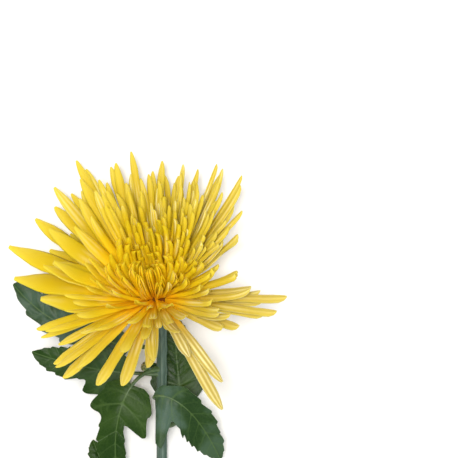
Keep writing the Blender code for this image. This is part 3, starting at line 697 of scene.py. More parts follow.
def floret_tree():
    board = ShapeBoard("ray florets")
    plan, stations, ring, base, turn = board.given(
        Plan="Geometry", Stations="Int", Ring_Points="Int", Bloom_Base="Vector",
        Bloom_Turn="Vector")
    thickness, rib, root_depth, floor_clear, floor_bend = board.given(
        Thickness="Float", Rib_Height="Float", Root_Depth="Float", Floor_Clearance="Float",
        Floor_Bend="Float")
    seed, material = board.given(Seed="Int", Material="Material")

    points = board.out("GeometryNodeMeshToPoints", plan)
    points, index = board.outs("GeometryNodeDuplicateElements", points, True, stations + 1,
                               domain="POINT")
    points = board.keep(points, "station", index)
    station, azimuth, sway, start = board.reads("station", "azimuth", "sway", "start")
    end, hook, length, roll = board.reads("end", "hook", "length", "roll")

    def share_at(place):
        """The share of the length at a station."""
        return 1.0 - (1.0 - place / stations).above().power(STATION_CROWDING)

    def heading(share):
        """The floret's direction at a share of its length, in the bloom's frame."""
        hooked = hook * (share - HOOK_FROM).above() / (1 - HOOK_FROM)
        polar = share.mix(start, end) - hooked
        around = azimuth + 2.0 * sway * share * share
        flat = polar.sine()
        return board.vector(flat * around.cosine(), flat * around.sine(), polar.cosine())

    # Where a station lies: its root, and all steps before it summed up
    here, ahead = share_at(station), share_at(station + 1.0)
    step = heading((here + ahead) * 0.5) * ((ahead - here) * length)
    floret = board.read("floret", "INT")
    walked = board.out("GeometryNodeAccumulateField", step, floret, name="Trailing",
                       data_type="FLOAT_VECTOR", domain="POINT")
    at_root = board.calc("LESS_THAN", station, 0.5)
    facing = heading(here)
    middle = board.out("GeometryNodeInputPosition") + walked - facing * (at_root * root_depth)
    across = board.vector(-azimuth.sine(), azimuth.cosine(), 0.0)
    across = board.rotated(across, facing, roll * here)
    inner = board.calc("CROSS_PRODUCT", across, facing)
    # A floret that would dip into the floor bends along it instead
    x, y, z = board.parts(board.nodded(middle, turn) + base)
    over = z - floor_clear
    lift = floor_clear + 0.5 * (over + (over * over + floor_bend * floor_bend).power(0.5))
    points = board.out("GeometryNodeSetPosition", points, True, board.vector(x, y, lift))
    points = board.keep(points, "along", here)
    points = board.keep(points, "side_way", board.nodded(across, turn), "FLOAT_VECTOR")
    points = board.keep(points, "inner_way", board.nodded(inner, turn), "FLOAT_VECTOR")
    points = board.keep(points, "middle", board.out("GeometryNodeInputPosition"), "FLOAT_VECTOR")
    curves = board.out("GeometryNodePointsToCurves", points, floret, station)

    mesh = board.tube(curves, ring, 1.0)
    along, around, blunt, curl = board.reads("along", "around", "blunt", "curl")
    drift = board.out("FunctionNodeRandomValue", 0.0, math.tau, floret, seed, data_type="FLOAT")
    # Its half width: from quill to strap, closing at the tip, with an edge that is never straight
    opening = (along / STRAP_FROM).below().power(0.8)
    opening = QUILL_WIDTH + (1 - QUILL_WIDTH) * opening
    tip_start = blunt.mix(POINTED_FROM, BLUNT_FROM)
    tip = (along - tip_start).above() / (1.0 - tip_start)
    tapered = 1.0 - POINTED_LOSS * tip.power(1.3)
    rounded = (1.0 - BLUNT_LOSS * tip * tip).above().power(0.5)
    closing = blunt.mix(tapered, rounded)
    half = board.read("half_width") * opening * closing
    half = half * (1.0 + 0.05 * (along * 13.0 + drift).sine())
    # Its curl: strong in the quill, weaker where the strap opens, a little more at the tip
    opened = along.smooth(0.05, 0.75)
    opened = opened.mix(1.25, curl.ramp(1.4, 2.8, 0.8, 1.0))
    curl = (curl * opened + 0.5 * along.smooth(0.86, 1.0)).below(HIGHEST_CURL)
    # Each ring bent round an arc, with the strap's thickness and its two ribs
    sideways, inside = around.cosine(), around.sine()
    bend = sideways * curl
    radius = half / curl.below(WIDEST_CURL)
    depth = inside * thickness * closing.mix(0.5, 1.0)
    raised = rib * board.read("ribs") * along.smooth(0.1, 0.4)
    ribs = (sideways * 3.0 * math.pi).cosine() * -1.0 * raised
    depth = depth + ribs * board.calc("SIGN", inside + 0.01) * closing
    out_x = (radius - depth) * bend.sine()
    out_y = radius - (radius - depth) * bend.cosine()
    place = board.read("middle", "FLOAT_VECTOR")
    place = place + board.read("side_way", "FLOAT_VECTOR") * out_x
    place = place + board.read("inner_way", "FLOAT_VECTOR") * out_y
    mesh = board.out("GeometryNodeSetPosition", mesh, True, place * MM)
    mesh = board.keep(mesh, "across", sideways)
    mesh = board.out("GeometryNodeFlipFaces", mesh)
    board.finish(mesh, material, forget=("middle", "side_way", "inner_way", "station", "start",
                                         "end", "sway", "hook", "roll", "azimuth", "curl"))
    return board


florets_board = floret_tree()
print("floret tree:", len(florets_board.tree.nodes), "nodes")


# %% [markdown]
# ## Petal material
# Yellow petals are thin, so light passes through them and every gap between them glows orange
# instead of going dark. Part of that glow is the shader's own subsurface light, and the rest is
# painted glow: the roots are painted brighter and more orange than their own gold, and so are the
# shaded edges of the curled inner florets. The colour runs from that warm root through a clear
# yellow to a paler, greener tip, each floret is a touch different from its neighbours, and fine
# lines run along it. Pale painted highlights lie along the ribs, and painted shade darkens the
# grooves between them on the tanned florets. The lines are drawn from the floret's own across and
# along attributes, so they follow every bend. Each colour is a coat laid over those before it, as
# much of it as its share says.

# %% Coats of colour
def attributes(board, *names):
    """The numbers that a piece carries under some names."""
    return [board.out("ShaderNodeAttribute", name="Fac", attribute_name=name) for name in names]


def painted(board, ground, *coats):
    """A ground colour under coats of (share, colour), each laid over what lies below it."""
    ground = (*ground, 1.0)
    for share, colour in coats:
        mixed = board.node("ShaderNodeMix", data_type="RGBA", blend_type="MIX")
        for place, value in ((0, share), (6, ground), (7, (*colour, 1.0))):
            board.feed(mixed.inputs[place], value)
        ground = Wire(board, mixed.outputs[2])
    return ground


def bump(board, height, distance, strength):
    return board.out("ShaderNodeBump", strength, distance, name="Normal", named={"Height": height})


# %% The petal material
# Painted glow at the root: the florets' own gold, painted brighter and more orange against the shade
# deep in the bloom
PETAL_ROOT_GOLD_AND_GLOW = (0.98, 0.50, 0.006)
PETAL_GOLD = (0.96, 0.63, 0.008)
PETAL_YELLOW = (0.64, 0.465, 0.008)
# Painted highlight, laid along the ribs
PETAL_PAINTED_HIGHLIGHT = (0.93, 0.85, 0.44)
PETAL_TIP = (0.70, 0.57, 0.07)
# Painted glow on the shaded edges of the curled inner florets
PETAL_PAINTED_SEAM_GLOW = (0.98, 0.50, 0.004)
PETAL_TAN = (0.46, 0.37, 0.11)
# Painted shade in the grooves between the ribs
PETAL_PAINTED_GROOVE_SHADE = (0.40, 0.28, 0.04)
# How fast the two ribs and the fine lines follow one another across a floret
RIB_WAVES = 9.4
LINE_WAVES = 31.0


def petal_material():
    material, board, shader = shader_board("petal_yellow")
    along, across, rank = attributes(board, "along", "across", "rank")
    shade, tan, ribs = attributes(board, "shade", "tan", "ribs")
    # Painted glow: the edges of the curled inner florets, which lie in shade, turn orange
    painted_seam_glow = board.calc("ABSOLUTE", across).smooth(0.70, 0.95)
    painted_seam_glow = painted_seam_glow * rank.smooth(0.3, 0.8, 1.0, 0.0)
    paler = along.smooth(0.7, 1.0) * rank.smooth(0.3, 0.7)
    ridges = (across * RIB_WAVES).cosine() * -0.5 + 0.5
    # Painted highlight: pale streaks on the ribs, in patches that lie differently on each floret
    painted_highlight_patch = (along * 7.0 + shade * 12.0).sine().smooth(0.0, 1.0)
    painted_highlight_patch = tan.mix(painted_highlight_patch, 0.85)
    painted_highlight = ridges * painted_highlight_patch * along.smooth(0.25, 0.6) * ribs
    # Painted shade in the grooves between the ribs of the tanned florets
    painted_groove_shade = (1.0 - ridges) * tan * along.smooth(0.1, 0.4)
    lines = (ridges * 0.7 + (across * LINE_WAVES).sine() * 0.15) * ribs
    # The root coat is partly painted glow, and the inner florets keep more of it
    board.fill(shader, {
        "Base Color": painted(
            board, PETAL_ROOT_GOLD_AND_GLOW,
            (along.smooth(0.0, 0.45), PETAL_GOLD),
            ((along * (0.5 + rank * 0.5)).smooth(0.22, 0.65), PETAL_YELLOW),
            (painted_seam_glow * 0.8, PETAL_PAINTED_SEAM_GLOW),
            (paler * 0.6, PETAL_TIP),
            (tan * along.smooth(0.1, 0.45), PETAL_TAN),
            (painted_highlight * tan.mix(shade, 0.75), PETAL_PAINTED_HIGHLIGHT),
            (painted_groove_shade * 0.55, PETAL_PAINTED_GROOVE_SHADE)),
        "Roughness": 0.45,
        "Specular IOR Level": 0.15,
        "Subsurface Weight": 0.35,
        "Subsurface Radius": (0.5, 0.45, 0.05),
        "Subsurface Scale": 0.003,
        "Normal": bump(board, lines, 0.00025, 0.6),
    })
    return material


petal_yellow = petal_material()

# %% The ray florets
# Each tier's ranks from and to, and how many stations its florets have
FLORET_TIERS = (("ray_florets_inner", 0.0, 0.34, 8), ("ray_florets_middle", 0.34, 0.68, 9),
                ("ray_florets_outer", 0.68, 1.01, 11))
RING_POINTS = 10
FLORET_HALF_THICKNESS = 0.28
RIB_HEIGHT = 0.16
# How high above the floor a floret's middle stays, and how softly it bends away from it
FLOOR_CLEARANCE = 0.8
FLOOR_BEND = 4.0


def round_axis(radius, azimuth, height):
    """A point of the bloom's frame."""
    return radius * math.cos(azimuth), radius * math.sin(azimuth), height


for name, low, high, stations in FLORET_TIERS:
    tier = [f for f in florets if low <= f["rank"] < high]
    places = []
    for floret in tier:
        radius, height = on_head(floret["rank"])
        places.append(round_axis(radius, floret["azimuth"], height))
    plan = plain_mesh(name, places, **as_columns(tier))
    plan.attributes.new("floret", "INT", "POINT").data.foreach_set("value", range(len(tier)))
    piece = grow(name, plan, florets_board, Stations=stations, Ring_Points=RING_POINTS,
                 Bloom_Base=tuple(BLOOM_BASE), Bloom_Turn=tuple(BLOOM_TURN.to_euler()),
                 Thickness=FLORET_HALF_THICKNESS, Rib_Height=RIB_HEIGHT, Root_Depth=ROOT_DEPTH,
                 Floor_Clearance=FLOOR_CLEARANCE, Floor_Bend=FLOOR_BEND, Seed=FLORET_SEED,
                 Material=petal_yellow)
    settle(piece, "petal_yellow", "ray_florets")

# %% [markdown]
# ## The head, the eye and the cup
# All florets stand on a low domed head. In its middle a button of unopened florets makes the dark
# eye of the bloom, and below its rim a green cup of overlapping scales holds everything together.
# The dome and the body of the cup are turned shapes, so a profile is carried round the axis. The
# buds and the scales repeat, so they are grown from a plan: a small ball is set on every point, and
# its own height, width and depth become the place along, across and through the bud or the scale.

# %% Turned bodies
def turned(name, profile, steps, material):
    """A solid turned about the bloom's axis, from (radius, height) points, axis to axis."""
    bm = bmesh.new()
    rings = []
    for radius, height in profile:
        ring = []
        count = steps if radius > 0 else 1
        for k in range(count):
            point = Vector(round_axis(radius, math.tau * k / count, height))
            ring.append(bm.verts.new((BLOOM_TURN @ point + BLOOM_BASE) * MM))
        rings.append(ring)
    for low_ring, high_ring in zip(rings, rings[1:]):
        for k in range(steps):
            corners = [low_ring[k % len(low_ring)], low_ring[(k + 1) % len(low_ring)],
                       high_ring[(k + 1) % len(high_ring)], high_ring[k % len(high_ring)]]
            bm.faces.new(list(dict.fromkeys(corners)))
    bmesh.ops.recalc_face_normals(bm, faces=bm.faces)
    mesh = bpy.data.meshes.new(name)
    bm.to_mesh(mesh)
    bm.free()
    mesh.shade_smooth()
    mesh.materials.append(material)
    return placed(name, mesh)


# %% The dome of the head
DOME_STEPS = 8
DOME_INSET = 0.1
DOME_DROP = 0.4
# The flat middle of the dome, under the eye
HOLLOW_RADIUS = 2.8
HOLLOW_FLOOR = HEAD_SPRING + HEAD_RISE - 1.2

# The dome is a dark brown, which shows only down between the florets
dome_brown, board, shader = shader_board("petal_yellow_roots")
board.fill(shader, {"Base Color": (0.14, 0.05, 0.004, 1.0), "Roughness": 0.8,
                    "Specular IOR Level": 0.1})
dome_profile = [(0.0, HOLLOW_FLOOR), (HOLLOW_RADIUS, HOLLOW_FLOOR)]
for k in range(DOME_STEPS + 1):
    radius, height = on_head(k / DOME_STEPS)
    dome_profile.append((radius - DOME_INSET, height - DOME_DROP))
dome_profile += [(on_head(1.0)[0], HEAD_FLOOR), (0.0, HEAD_FLOOR)]
settle(turned("head_dome", dome_profile, 48, dome_brown), "petal_yellow", "ray_florets")


# %% Green and brown finishes for the small parts
def noise(board, place, scale, detail):
    """Soft noise from 0 to 1 over a place in metres."""
    return board.out("ShaderNodeTexNoise", name="Fac",
                     named={"Vector": place, "Scale": scale, "Detail": detail})


def grown_green(name, dark, light, scale, roughness, tip=None):
    """A plant green that wanders between two shades, with a colour of its own at the tips."""
    material, board, shader = shader_board(name)
    mottle = noise(board, board.out("ShaderNodeTexCoord", name="Object"), scale, 4.0)
    coats = [(mottle.smooth(0.35, 0.65), light)]
    if tip:
        [along] = attributes(board, "along")
        coats.append((along.smooth(0.55, 1.0), tip))
    board.fill(shader, {
        "Base Color": painted(board, dark, *coats),
        "Roughness": roughness,
        "Subsurface Weight": 0.1,
        "Subsurface Radius": (0.5, 1.0, 0.2),
        "Subsurface Scale": 0.001,
        "Normal": bump(board, mottle, 0.00015, 0.4),
    })
    return material


disc_yellow = grown_green("disc_yellow", (0.16, 0.08, 0.008), (0.34, 0.19, 0.015), 900.0, 0.6,
                          tip=(0.34, 0.22, 0.03))
cup_green = grown_green("cup_green", (0.05, 0.11, 0.02), (0.10, 0.19, 0.045), 500.0, 0.55,
                        tip=(0.22, 0.20, 0.07))


# %% [markdown]
# The same tree makes a bud of the eye and a scale of the cup. Both are a ball drawn out along one
# way: a bud stays round and leans out, and a scale is pressed flat and follows the cup's outside.

# %% The tree for buds and scales
def scale_tree():
    board = ShapeBoard("buds and scales")
    plan, segments, rings, base, turn = board.given(
        Plan="Geometry", Segments="Int", Rings="Int", Bloom_Base="Vector", Bloom_Turn="Vector")
    flare, material = board.given(Tip_Flare="Float", Material="Material")

    ball = board.out("GeometryNodeMeshUVSphere", segments, rings, 1.0, name="Mesh")
    ball = board.keep(ball, "ball", board.out("GeometryNodeInputPosition"), "FLOAT_VECTOR")
    scattered = board.out("GeometryNodeInstanceOnPoints", plan, True, ball)
    mesh = board.out("GeometryNodeRealizeInstances", scattered)
    across, through, height = board.parts(board.read("ball", "FLOAT_VECTOR"))
    along = (height + 1.0) * 0.5
    azimuth, lean, length, half = board.reads("azimuth", "lean", "length", "half_width")
    thick, ring_radius = board.reads("thickness", "ring_radius")
    turned_out = lean.sine() * length
    outward = ring_radius + turned_out * along + flare * along * along * along
    outward = outward + through * thick + board.read("bulge") * (along * math.pi).sine()
    wrap = azimuth + across * half / outward.above(0.6)
    up = board.read("foot") + lean.cosine() * length * along
    point = board.vector(outward * wrap.cosine(), outward * wrap.sine(), up)
    place = board.nodded(point, turn) + base
    mesh = board.out("GeometryNodeSetPosition", mesh, True, place * MM)
    mesh = board.keep(mesh, "along", along)
    mesh = board.out("GeometryNodeFlipFaces", mesh)
    board.finish(mesh, material, forget=("ball", "azimuth", "lean", "ring_radius", "foot", "bulge"))
    return board


scales_board = scale_tree()


def grow_scales(name, plan, segments, rings, flare, material, base=BLOOM_BASE, turn=BLOOM_TURN):
    """Buds or scales from a plan of dicts, as one piece that stands on a base and is turned."""
    mesh = plain_mesh(name, [(0, 0, 0)] * len(plan), **as_columns(plan))
    return grow(name, mesh, scales_board, Segments=segments, Rings=rings, Bloom_Base=tuple(base),
                Bloom_Turn=tuple(turn.to_euler()), Tip_Flare=flare, Material=material)


# %% The eye
DISC_RADIUS = 2.2
DISC_FLOOR = HEAD_SPRING + HEAD_RISE - 0.9
DISC_BUDS = 46
BUD_LENGTH = 8.0
BUD_RADIUS = 0.34
BUD_SINK = 0.3
BUD_SEED = 3
# The button under the buds: radius and height over the disc's floor
BUTTON = ((0.0, 2.2), (1.2, 1.9), (DISC_RADIUS - 0.2, 0.9), (DISC_RADIUS, 0.0), (0.0, 0.0))

rng = random.Random(BUD_SEED)
bud_plan = []
for index in range(DISC_BUDS):
    share = math.sqrt((index + 0.5) / DISC_BUDS)
    bud_plan.append(dict(
        azimuth=index * GOLDEN_ANGLE, ring_radius=share * (DISC_RADIUS - BUD_RADIUS),
        lean=math.radians(9) * share, foot=DISC_FLOOR - BUD_SINK,
        length=BUD_LENGTH * rng.uniform(0.8, 1.05) * (0.72 + 0.28 * share),
        half_width=BUD_RADIUS * rng.uniform(0.9, 1.1), thickness=BUD_RADIUS, bulge=0.0))
button_profile = [(radius, DISC_FLOOR + height) for radius, height in BUTTON]
settle(turned("disc_button", button_profile, 24, disc_yellow), "disc_yellow", "disc_florets")
settle(grow_scales("disc_florets_buds", bud_plan, 8, 6, -1.1, disc_yellow), "disc_yellow",
       "disc_florets")

# %% The cup
CUP_FOOT = -1.0
CUP_RIM = 8.2
CUP_RIM_RADIUS = 9.4
CUP_FOOT_RADIUS = 3.3
CUP_STEPS = 12
# Each row's bracts: how many, the height of their feet, their length and half width
BRACT_ROWS = ((11, 0.2, 7.0, 1.75), (13, 1.4, 7.0, 1.75), (15, 2.4, 6.6, 1.7), (17, 3.4, 6.0, 1.6))
BRACT_THICKNESS = 0.42
# How deep a bract's foot is sunk into the cup, and how far its tip stands off it
BRACT_SINK = 0.15
BRACT_STAND = 0.25


def cup_radius(height):
    """The cup's outer radius at a height along the axis: a quarter of an ellipse."""
    share = min(1.0, max(0.0, (height - CUP_FOOT) / (CUP_RIM - CUP_FOOT)))
    return CUP_FOOT_RADIUS + (CUP_RIM_RADIUS - CUP_FOOT_RADIUS) * math.sqrt(1 - (1 - share) ** 2)


cup_heights = [CUP_RIM - (CUP_RIM - CUP_FOOT) * k / CUP_STEPS for k in range(CUP_STEPS + 1)]
cup_profile = [(0.0, CUP_RIM), *((cup_radius(height), height) for height in cup_heights),
               (0.0, CUP_FOOT)]
settle(turned("cup_body", cup_profile, 40, cup_green), "cup_green", "involucre")

rng = random.Random(BUD_SEED)
bract_plan = []
for row, (count, foot, length, half_width) in enumerate(BRACT_ROWS):
    for index in range(count):
        top = foot + length * 0.92
        root, tip = cup_radius(foot), cup_radius(top)
        bract_plan.append(dict(
            azimuth=math.tau * (index + 0.5 * (row % 2)) / count + rng.gauss(0, 0.03),
            ring_radius=root - BRACT_SINK, foot=foot, thickness=BRACT_THICKNESS,
            lean=math.atan2(tip + BRACT_STAND - root, top - foot),
            length=math.hypot(tip - root, top - foot) * rng.uniform(0.95, 1.04),
            half_width=half_width * rng.uniform(0.92, 1.08),
            bulge=cup_radius((foot + top) / 2) - (root + tip) / 2 + BRACT_STAND))
settle(grow_scales("cup_bracts", bract_plan, 12, 9, 0.25, cup_green), "cup_green", "involucre")

# %% [markdown]
# ## The stem
# The stem is a rod along a smooth route: thicker at the cut end, bending up into the bloom's axis
# at its neck. A real one isn't round: six or seven soft ridges run along it and slowly wind. The
# same tree also makes the leaf stalks and the raised ribs under the blades, because each is a rod
# of a changing radius along a path. At every node, where a leaf springs, the stem is slightly
# swollen, and its cut end shows the pale pith.

# %% Routes
# Points along the stem's middle, and the radius at each
STEM_ROUTE = (
    ((-1.0, -236.0, 3.0), 3.0),
    ((-0.6, -216.0, 3.0), 3.0),
    ((0.1, -190.0, 3.1), 2.9),
    ((0.9, -150.0, 4.4), 2.8),
    ((1.6, -90.0, 6.4), 2.7),
    ((1.6, -45.0, 8.2), 2.6),
    ((1.6, -22.0, 10.2), 2.6),
)
# Where it runs up the bloom's axis: height and radius
STEM_NECK = ((-10.0, 2.7), (CUP_FOOT - 0.3, 3.0))
ROUTE_STEPS = 24


def spaced(dense, count):
    """count points, evenly spaced along a polyline."""
    reach = [0.0]
    for a, b in zip(dense, dense[1:]):
        reach.append(reach[-1] + (b.xyz - a.xyz).length)
    result, k = [], 0
    for n in range(count):
        wanted = reach[-1] * n / (count - 1)
        while k < len(reach) - 2 and reach[k + 1] < wanted:
            k += 1
        share = (wanted - reach[k]) / (reach[k + 1] - reach[k])
        result.append(dense[k].lerp(dense[k + 1], min(1.0, share)))
    return result


def smooth_route(points, count):
    """count points, evenly spaced, on a Catmull-Rom curve through the given points."""
    ends = [2 * points[0] - points[1], *points, 2 * points[-1] - points[-2]]
    dense = []
    for a, b, c, d in zip(ends, ends[1:], ends[2:], ends[3:]):
        for step in range(ROUTE_STEPS):
            t = step / ROUTE_STEPS
            dense.append(0.5 * (2 * b + (c - a) * t + (2 * a - 5 * b + 4 * c - d) * t**2
                                + (3 * b - a - 3 * c + d) * t**3))
    dense.append(points[-1])
    return spaced(dense, count)


def stem_line(count):
    """Points along the stem's middle and the radius at each."""
    route = [Vector((*(Vector(point) + SHIFT), radius)) for point, radius in STEM_ROUTE]
    axis = BLOOM_TURN.col[2]
    route += [Vector((*(BLOOM_BASE + axis * height), radius)) for height, radius in STEM_NECK]
    route = smooth_route(route, count)
    return [p.xyz for p in route], [p.w for p in route]


# %% The tree for rods
def rod_tree():
    board = ShapeBoard("rods")
    paths, sides, ridges, ridge_height, twist, floor_height, material = board.given(
        Paths="Geometry", Sides="Int", Ridges="Float", Ridge_Height="Float", Twist="Float",
        Floor="Float", Material="Material")

    curves = board.out("GeometryNodeMeshToCurve", paths)
    curves = board.keep(curves, "along", board.out("GeometryNodeSplineParameter", name="Factor"))
    curves = board.out("GeometryNodeSetCurveRadius", curves, True, 1.0)
    radius = board.read("rod_radius")
    mesh = board.tube(curves, sides, radius)
    around, along = board.reads("around", "along")
    wave = (around * ridges + along * twist).cosine()
    # The two ends keep their plain rings
    off_middle = board.calc("ABSOLUTE", along.ramp(0.0, 1.0) - 0.5)
    raised = wave * ridge_height * radius * board.calc("LESS_THAN", off_middle, 0.4999)
    mesh = board.out("GeometryNodeSetPosition", mesh, True, None,
                     board.out("GeometryNodeInputNormal") * raised)
    x, y, z = board.parts(board.out("GeometryNodeInputPosition"))
    place = board.vector(x, y, z.above(floor_height))
    mesh = board.out("GeometryNodeSetPosition", mesh, True, place)
    mesh = board.keep(mesh, "ridge", wave)
    board.finish(mesh, material, forget=("around",))
    return board


rods_board = rod_tree()


def grow_rod(name, points, radii, sides, ridges, ridge_height, twist, material):
    """A rod along points, with a radius at each, in millimetres."""
    plan = plain_mesh(name, [tuple(point * MM) for point in points],
                      [(k, k + 1) for k in range(len(points) - 1)],
                      rod_radius=[radius * MM for radius in radii])
    return grow(name, plan, rods_board, Sides=sides, Ridges=ridges, Ridge_Height=ridge_height,
                Twist=twist, Floor=0.0, Material=material)


# %% The stem's finish
STEM_DARK = (0.026, 0.062, 0.042)
STEM_LIGHT = (0.058, 0.108, 0.078)
STEM_RIDGE = (0.11, 0.17, 0.13)
STEM_BROWN = (0.09, 0.085, 0.05)
STEM_PITH = (0.42, 0.50, 0.24)


def stem_material():
    material, board, shader = shader_board("stem_green")
    place = board.out("ShaderNodeTexCoord", name="Object")
    stretched = board.out("ShaderNodeMapping", place, vector_type="POINT",
                          named={"Scale": (1.0, 0.12, 1.0)})
    streaks = noise(board, stretched, 700.0, 3.0)
    patches = noise(board, place, 45.0, 3.0)
    ridge, along = attributes(board, "ridge", "along")
    board.fill(shader, {
        "Base Color": painted(
            board, STEM_DARK,
            (streaks.smooth(0.35, 0.65), STEM_LIGHT),
            (ridge.smooth(0.1, 1.0) * 0.45, STEM_RIDGE),
            (patches.smooth(0.55, 0.75) * 0.35, STEM_BROWN),
            (along.smooth(0.0, 0.002, 1.0, 0.0), STEM_PITH)),
        "Roughness": 0.5,
        "Normal": bump(board, streaks, 0.0002, 0.5),
    })
    return material


stem_green = stem_material()

# %% The stem
STEM_POINTS = 180
STEM_SWELL = 0.35
SWELL_REACH = 2.4
STEM_NODES = (-21, -32, -46, -60, -94, -120)

stem_points, stem_radii = stem_line(STEM_POINTS)
for k, point in enumerate(stem_points):
    near = min(abs(point.y - SHIFT.y - node) for node in STEM_NODES)
    stem_radii[k] += STEM_SWELL * math.exp(-((near / SWELL_REACH) ** 2))
settle(grow_rod("stem_rod", stem_points, stem_radii, 42, 7.0, 0.05, 5.0, stem_green),
       "stem_green", "stem")

# %% [markdown]
# Just under the bloom a side bud has stayed small: a short stalk from a leaf's axil with a knob of
# green scales, one round inside the other. It is made with the same two trees.

# %% The side bud
SIDE_BUD_FOOT = Vector((-0.5, -33.0, 9.5)) + SHIFT
SIDE_BUD_HEAD = Vector((-5.4, -30.2, 13.0)) + SHIFT
# Each round's scales: how many, how far from the middle, their lean in degrees and their length
SIDE_BUD_ROUNDS = ((9, 0.75, 34, 3.6), (7, 0.5, 20, 3.9), (5, 0.25, 8, 4.0))
SIDE_STALK_RADII = (*[0.75] * 7, 1.0)

side_bud_plan = [
    dict(azimuth=math.tau * (index + 0.5 * row) / count, ring_radius=ring_radius,
         lean=math.radians(lean), foot=0.0, length=length, half_width=0.85, thickness=0.3,
         bulge=0.5)
    for row, (count, ring_radius, lean, length) in enumerate(SIDE_BUD_ROUNDS)
    for index in range(count)]
side_bud_way = (SIDE_BUD_HEAD - SIDE_BUD_FOOT).normalized()
side_bud_turn = side_bud_way.to_track_quat("Z", "Y").to_matrix()
side_bud = grow_scales("side_bud_scales", side_bud_plan, 8, 7, -0.6, cup_green, SIDE_BUD_HEAD,
                       side_bud_turn)
settle(side_bud, "stem_green", "stem")
stalk_top = SIDE_BUD_HEAD + side_bud_way * 0.6
stalk_line = spaced([SIDE_BUD_FOOT.to_4d(), stalk_top.to_4d()], len(SIDE_STALK_RADII))
settle(grow_rod("side_bud_stalk", [point.xyz for point in stalk_line], SIDE_STALK_RADII, 12, 3.0,
                0.08, 0.0, stem_green), "stem_green", "stem")

# %% [markdown]
# ## The leaves
# A chrysanthemum leaf has two pairs of lobes and a broad end lobe, with a few blunt teeth on each.
# Its side veins run into the lobes at a slant, so the blade is laid out along that slant: one
# number goes up the midrib, the other out along the slanted veins, and the outline is simply how
# far out the blade reaches at each height. A leaf is a sheet of such a grid, thickened a little.
# The sheet is pressed down along its veins, swells between them and waves along its edge, which is
# what makes a living leaf shine in patches.

# %% Where each leaf lies
LEAF_SLANT = math.radians(38)
FOOT_SLANT = math.radians(-18)
FULL_SLANT_AT = 0.25
TOUCH_GAP = 0.3
STEM_SIDES = 12
STEM_MARKS = 200
BEZIER_STEPS = 120
# How far a blade's side reaches at each share of the blade's length, as a share of its half width
LEAF_SHARES = (0.00, 0.04, 0.08, 0.14, 0.19, 0.24, 0.28, 0.32, 0.38, 0.45, 0.52, 0.58, 0.64, 0.71,
               0.78, 0.85, 0.92, 1.00)
LEAF_SIDES = {
    "lobed": (0.25, 0.50, 0.68, 0.84, 0.95, 1.00, 0.80, 0.56, 0.52, 0.62, 0.66, 0.60, 0.54, 0.52,
              0.42, 0.33, 0.20, 0.02),
    "toothed": (0.20, 0.40, 0.57, 0.73, 0.87, 0.62, 0.57, 0.60, 0.63, 0.64, 0.62, 0.58, 0.52, 0.46,
                0.38, 0.28, 0.16, 0.02),
    "cleft": (0.32, 0.60, 0.72, 0.83, 0.90, 0.98, 0.80, 0.32, 0.26, 0.31, 0.34, 0.36, 0.38, 0.36,
              0.30, 0.22, 0.13, 0.02),
    "hanging": (0.74, 0.94, 1.00, 0.92, 0.48, 0.52, 0.66, 0.66, 0.58, 0.57, 0.55, 0.52, 0.48, 0.42,
                0.34, 0.26, 0.15, 0.02),
    "slim": (0.04, 0.12, 0.20, 0.28, 0.36, 0.42, 0.42, 0.40, 0.42, 0.44, 0.42, 0.38, 0.34, 0.34,
             0.28, 0.22, 0.14, 0.02),
    "broad": (0.20, 0.40, 0.57, 0.70, 0.78, 0.80, 0.80, 0.80, 0.80, 0.80, 0.80, 0.78, 0.76, 0.72,
              0.66, 0.56, 0.40, 0.04),
}
# Each leaf: the node it springs from along the stem, the way it springs, two guide points and the
# way its face looks, and then its measures, its two sides and what sets it apart
# Some leaves carry a grey-blue painted sheen, which is a painted reflection, and leaf_1 its own
# teeth
LEAVES = {
    "leaf_1": dict(at=-21, turn=-100, spring=16, guide=((-53, -16, 3.6), (-75, 12, 2.0)),
                   face=(0.0, 0.0, 1.0), petiole=15, half_width=16, fold=2, droop=0.03,
                   sides=("toothed", "broad"), frost=1.5, teeth=(6.0, 0.26)),
    "leaf_2": dict(at=-33, turn=-80, spring=14, guide=((-38, -32, 9.0), (-65, -22.5, 6.0)),
                   face=(0.05, -0.1, 1.0), petiole=14, half_width=16.5, fold=4, droop=0.10,
                   sides=("lobed", "toothed"), frost=0.2),
    "leaf_3": dict(at=-31, turn=-60, spring=16, guide=((-27, -56, 20.0), (-20, -93, 9.0)),
                   face=(-0.1, 0.0, 1.0), petiole=16, half_width=19.6, fold=-4, droop=0.14,
                   sides=("cleft", "toothed")),
    "leaf_4": dict(at=-46, turn=-42, spring=12, guide=((12, -33, 25.0), (31.5, -77, 12.0)),
                   face=(-0.4, 0.0, 1.0), petiole=6.5, half_width=26, fold=4, droop=0.06,
                   sides=("slim", "hanging"), frost=0.95),
    "leaf_5": dict(at=-60, turn=92, spring=12, guide=((8.5, -42, 2.2), (8, -5, 2.2)),
                   face=(0.0, 0.0, 1.0), petiole=16, half_width=17, fold=0, droop=0.02,
                   sides=("lobed", "lobed")),
    "leaf_6": dict(at=-94, turn=-80, spring=14, guide=((-24, -96, 6.0), (-34, -68, 3.0)),
                   face=(0.0, 0.1, 1.0), petiole=14, half_width=12, fold=5, droop=0.06,
                   sides=("lobed", "toothed")),
    "leaf_7": dict(at=-120, turn=70, spring=16, guide=((34, -128, 8.0), (56, -144, 2.0)),
                   face=(0.0, 0.0, 1.0), petiole=15, half_width=19, fold=4, droop=0.08,
                   sides=("toothed", "lobed")),
}


def bezier(guide, share):
    a, b, c, d = (Vector(p) for p in guide)
    rest = 1 - share
    return a * rest**3 + 3 * b * rest**2 * share + 3 * c * rest * share**2 + d * share**3


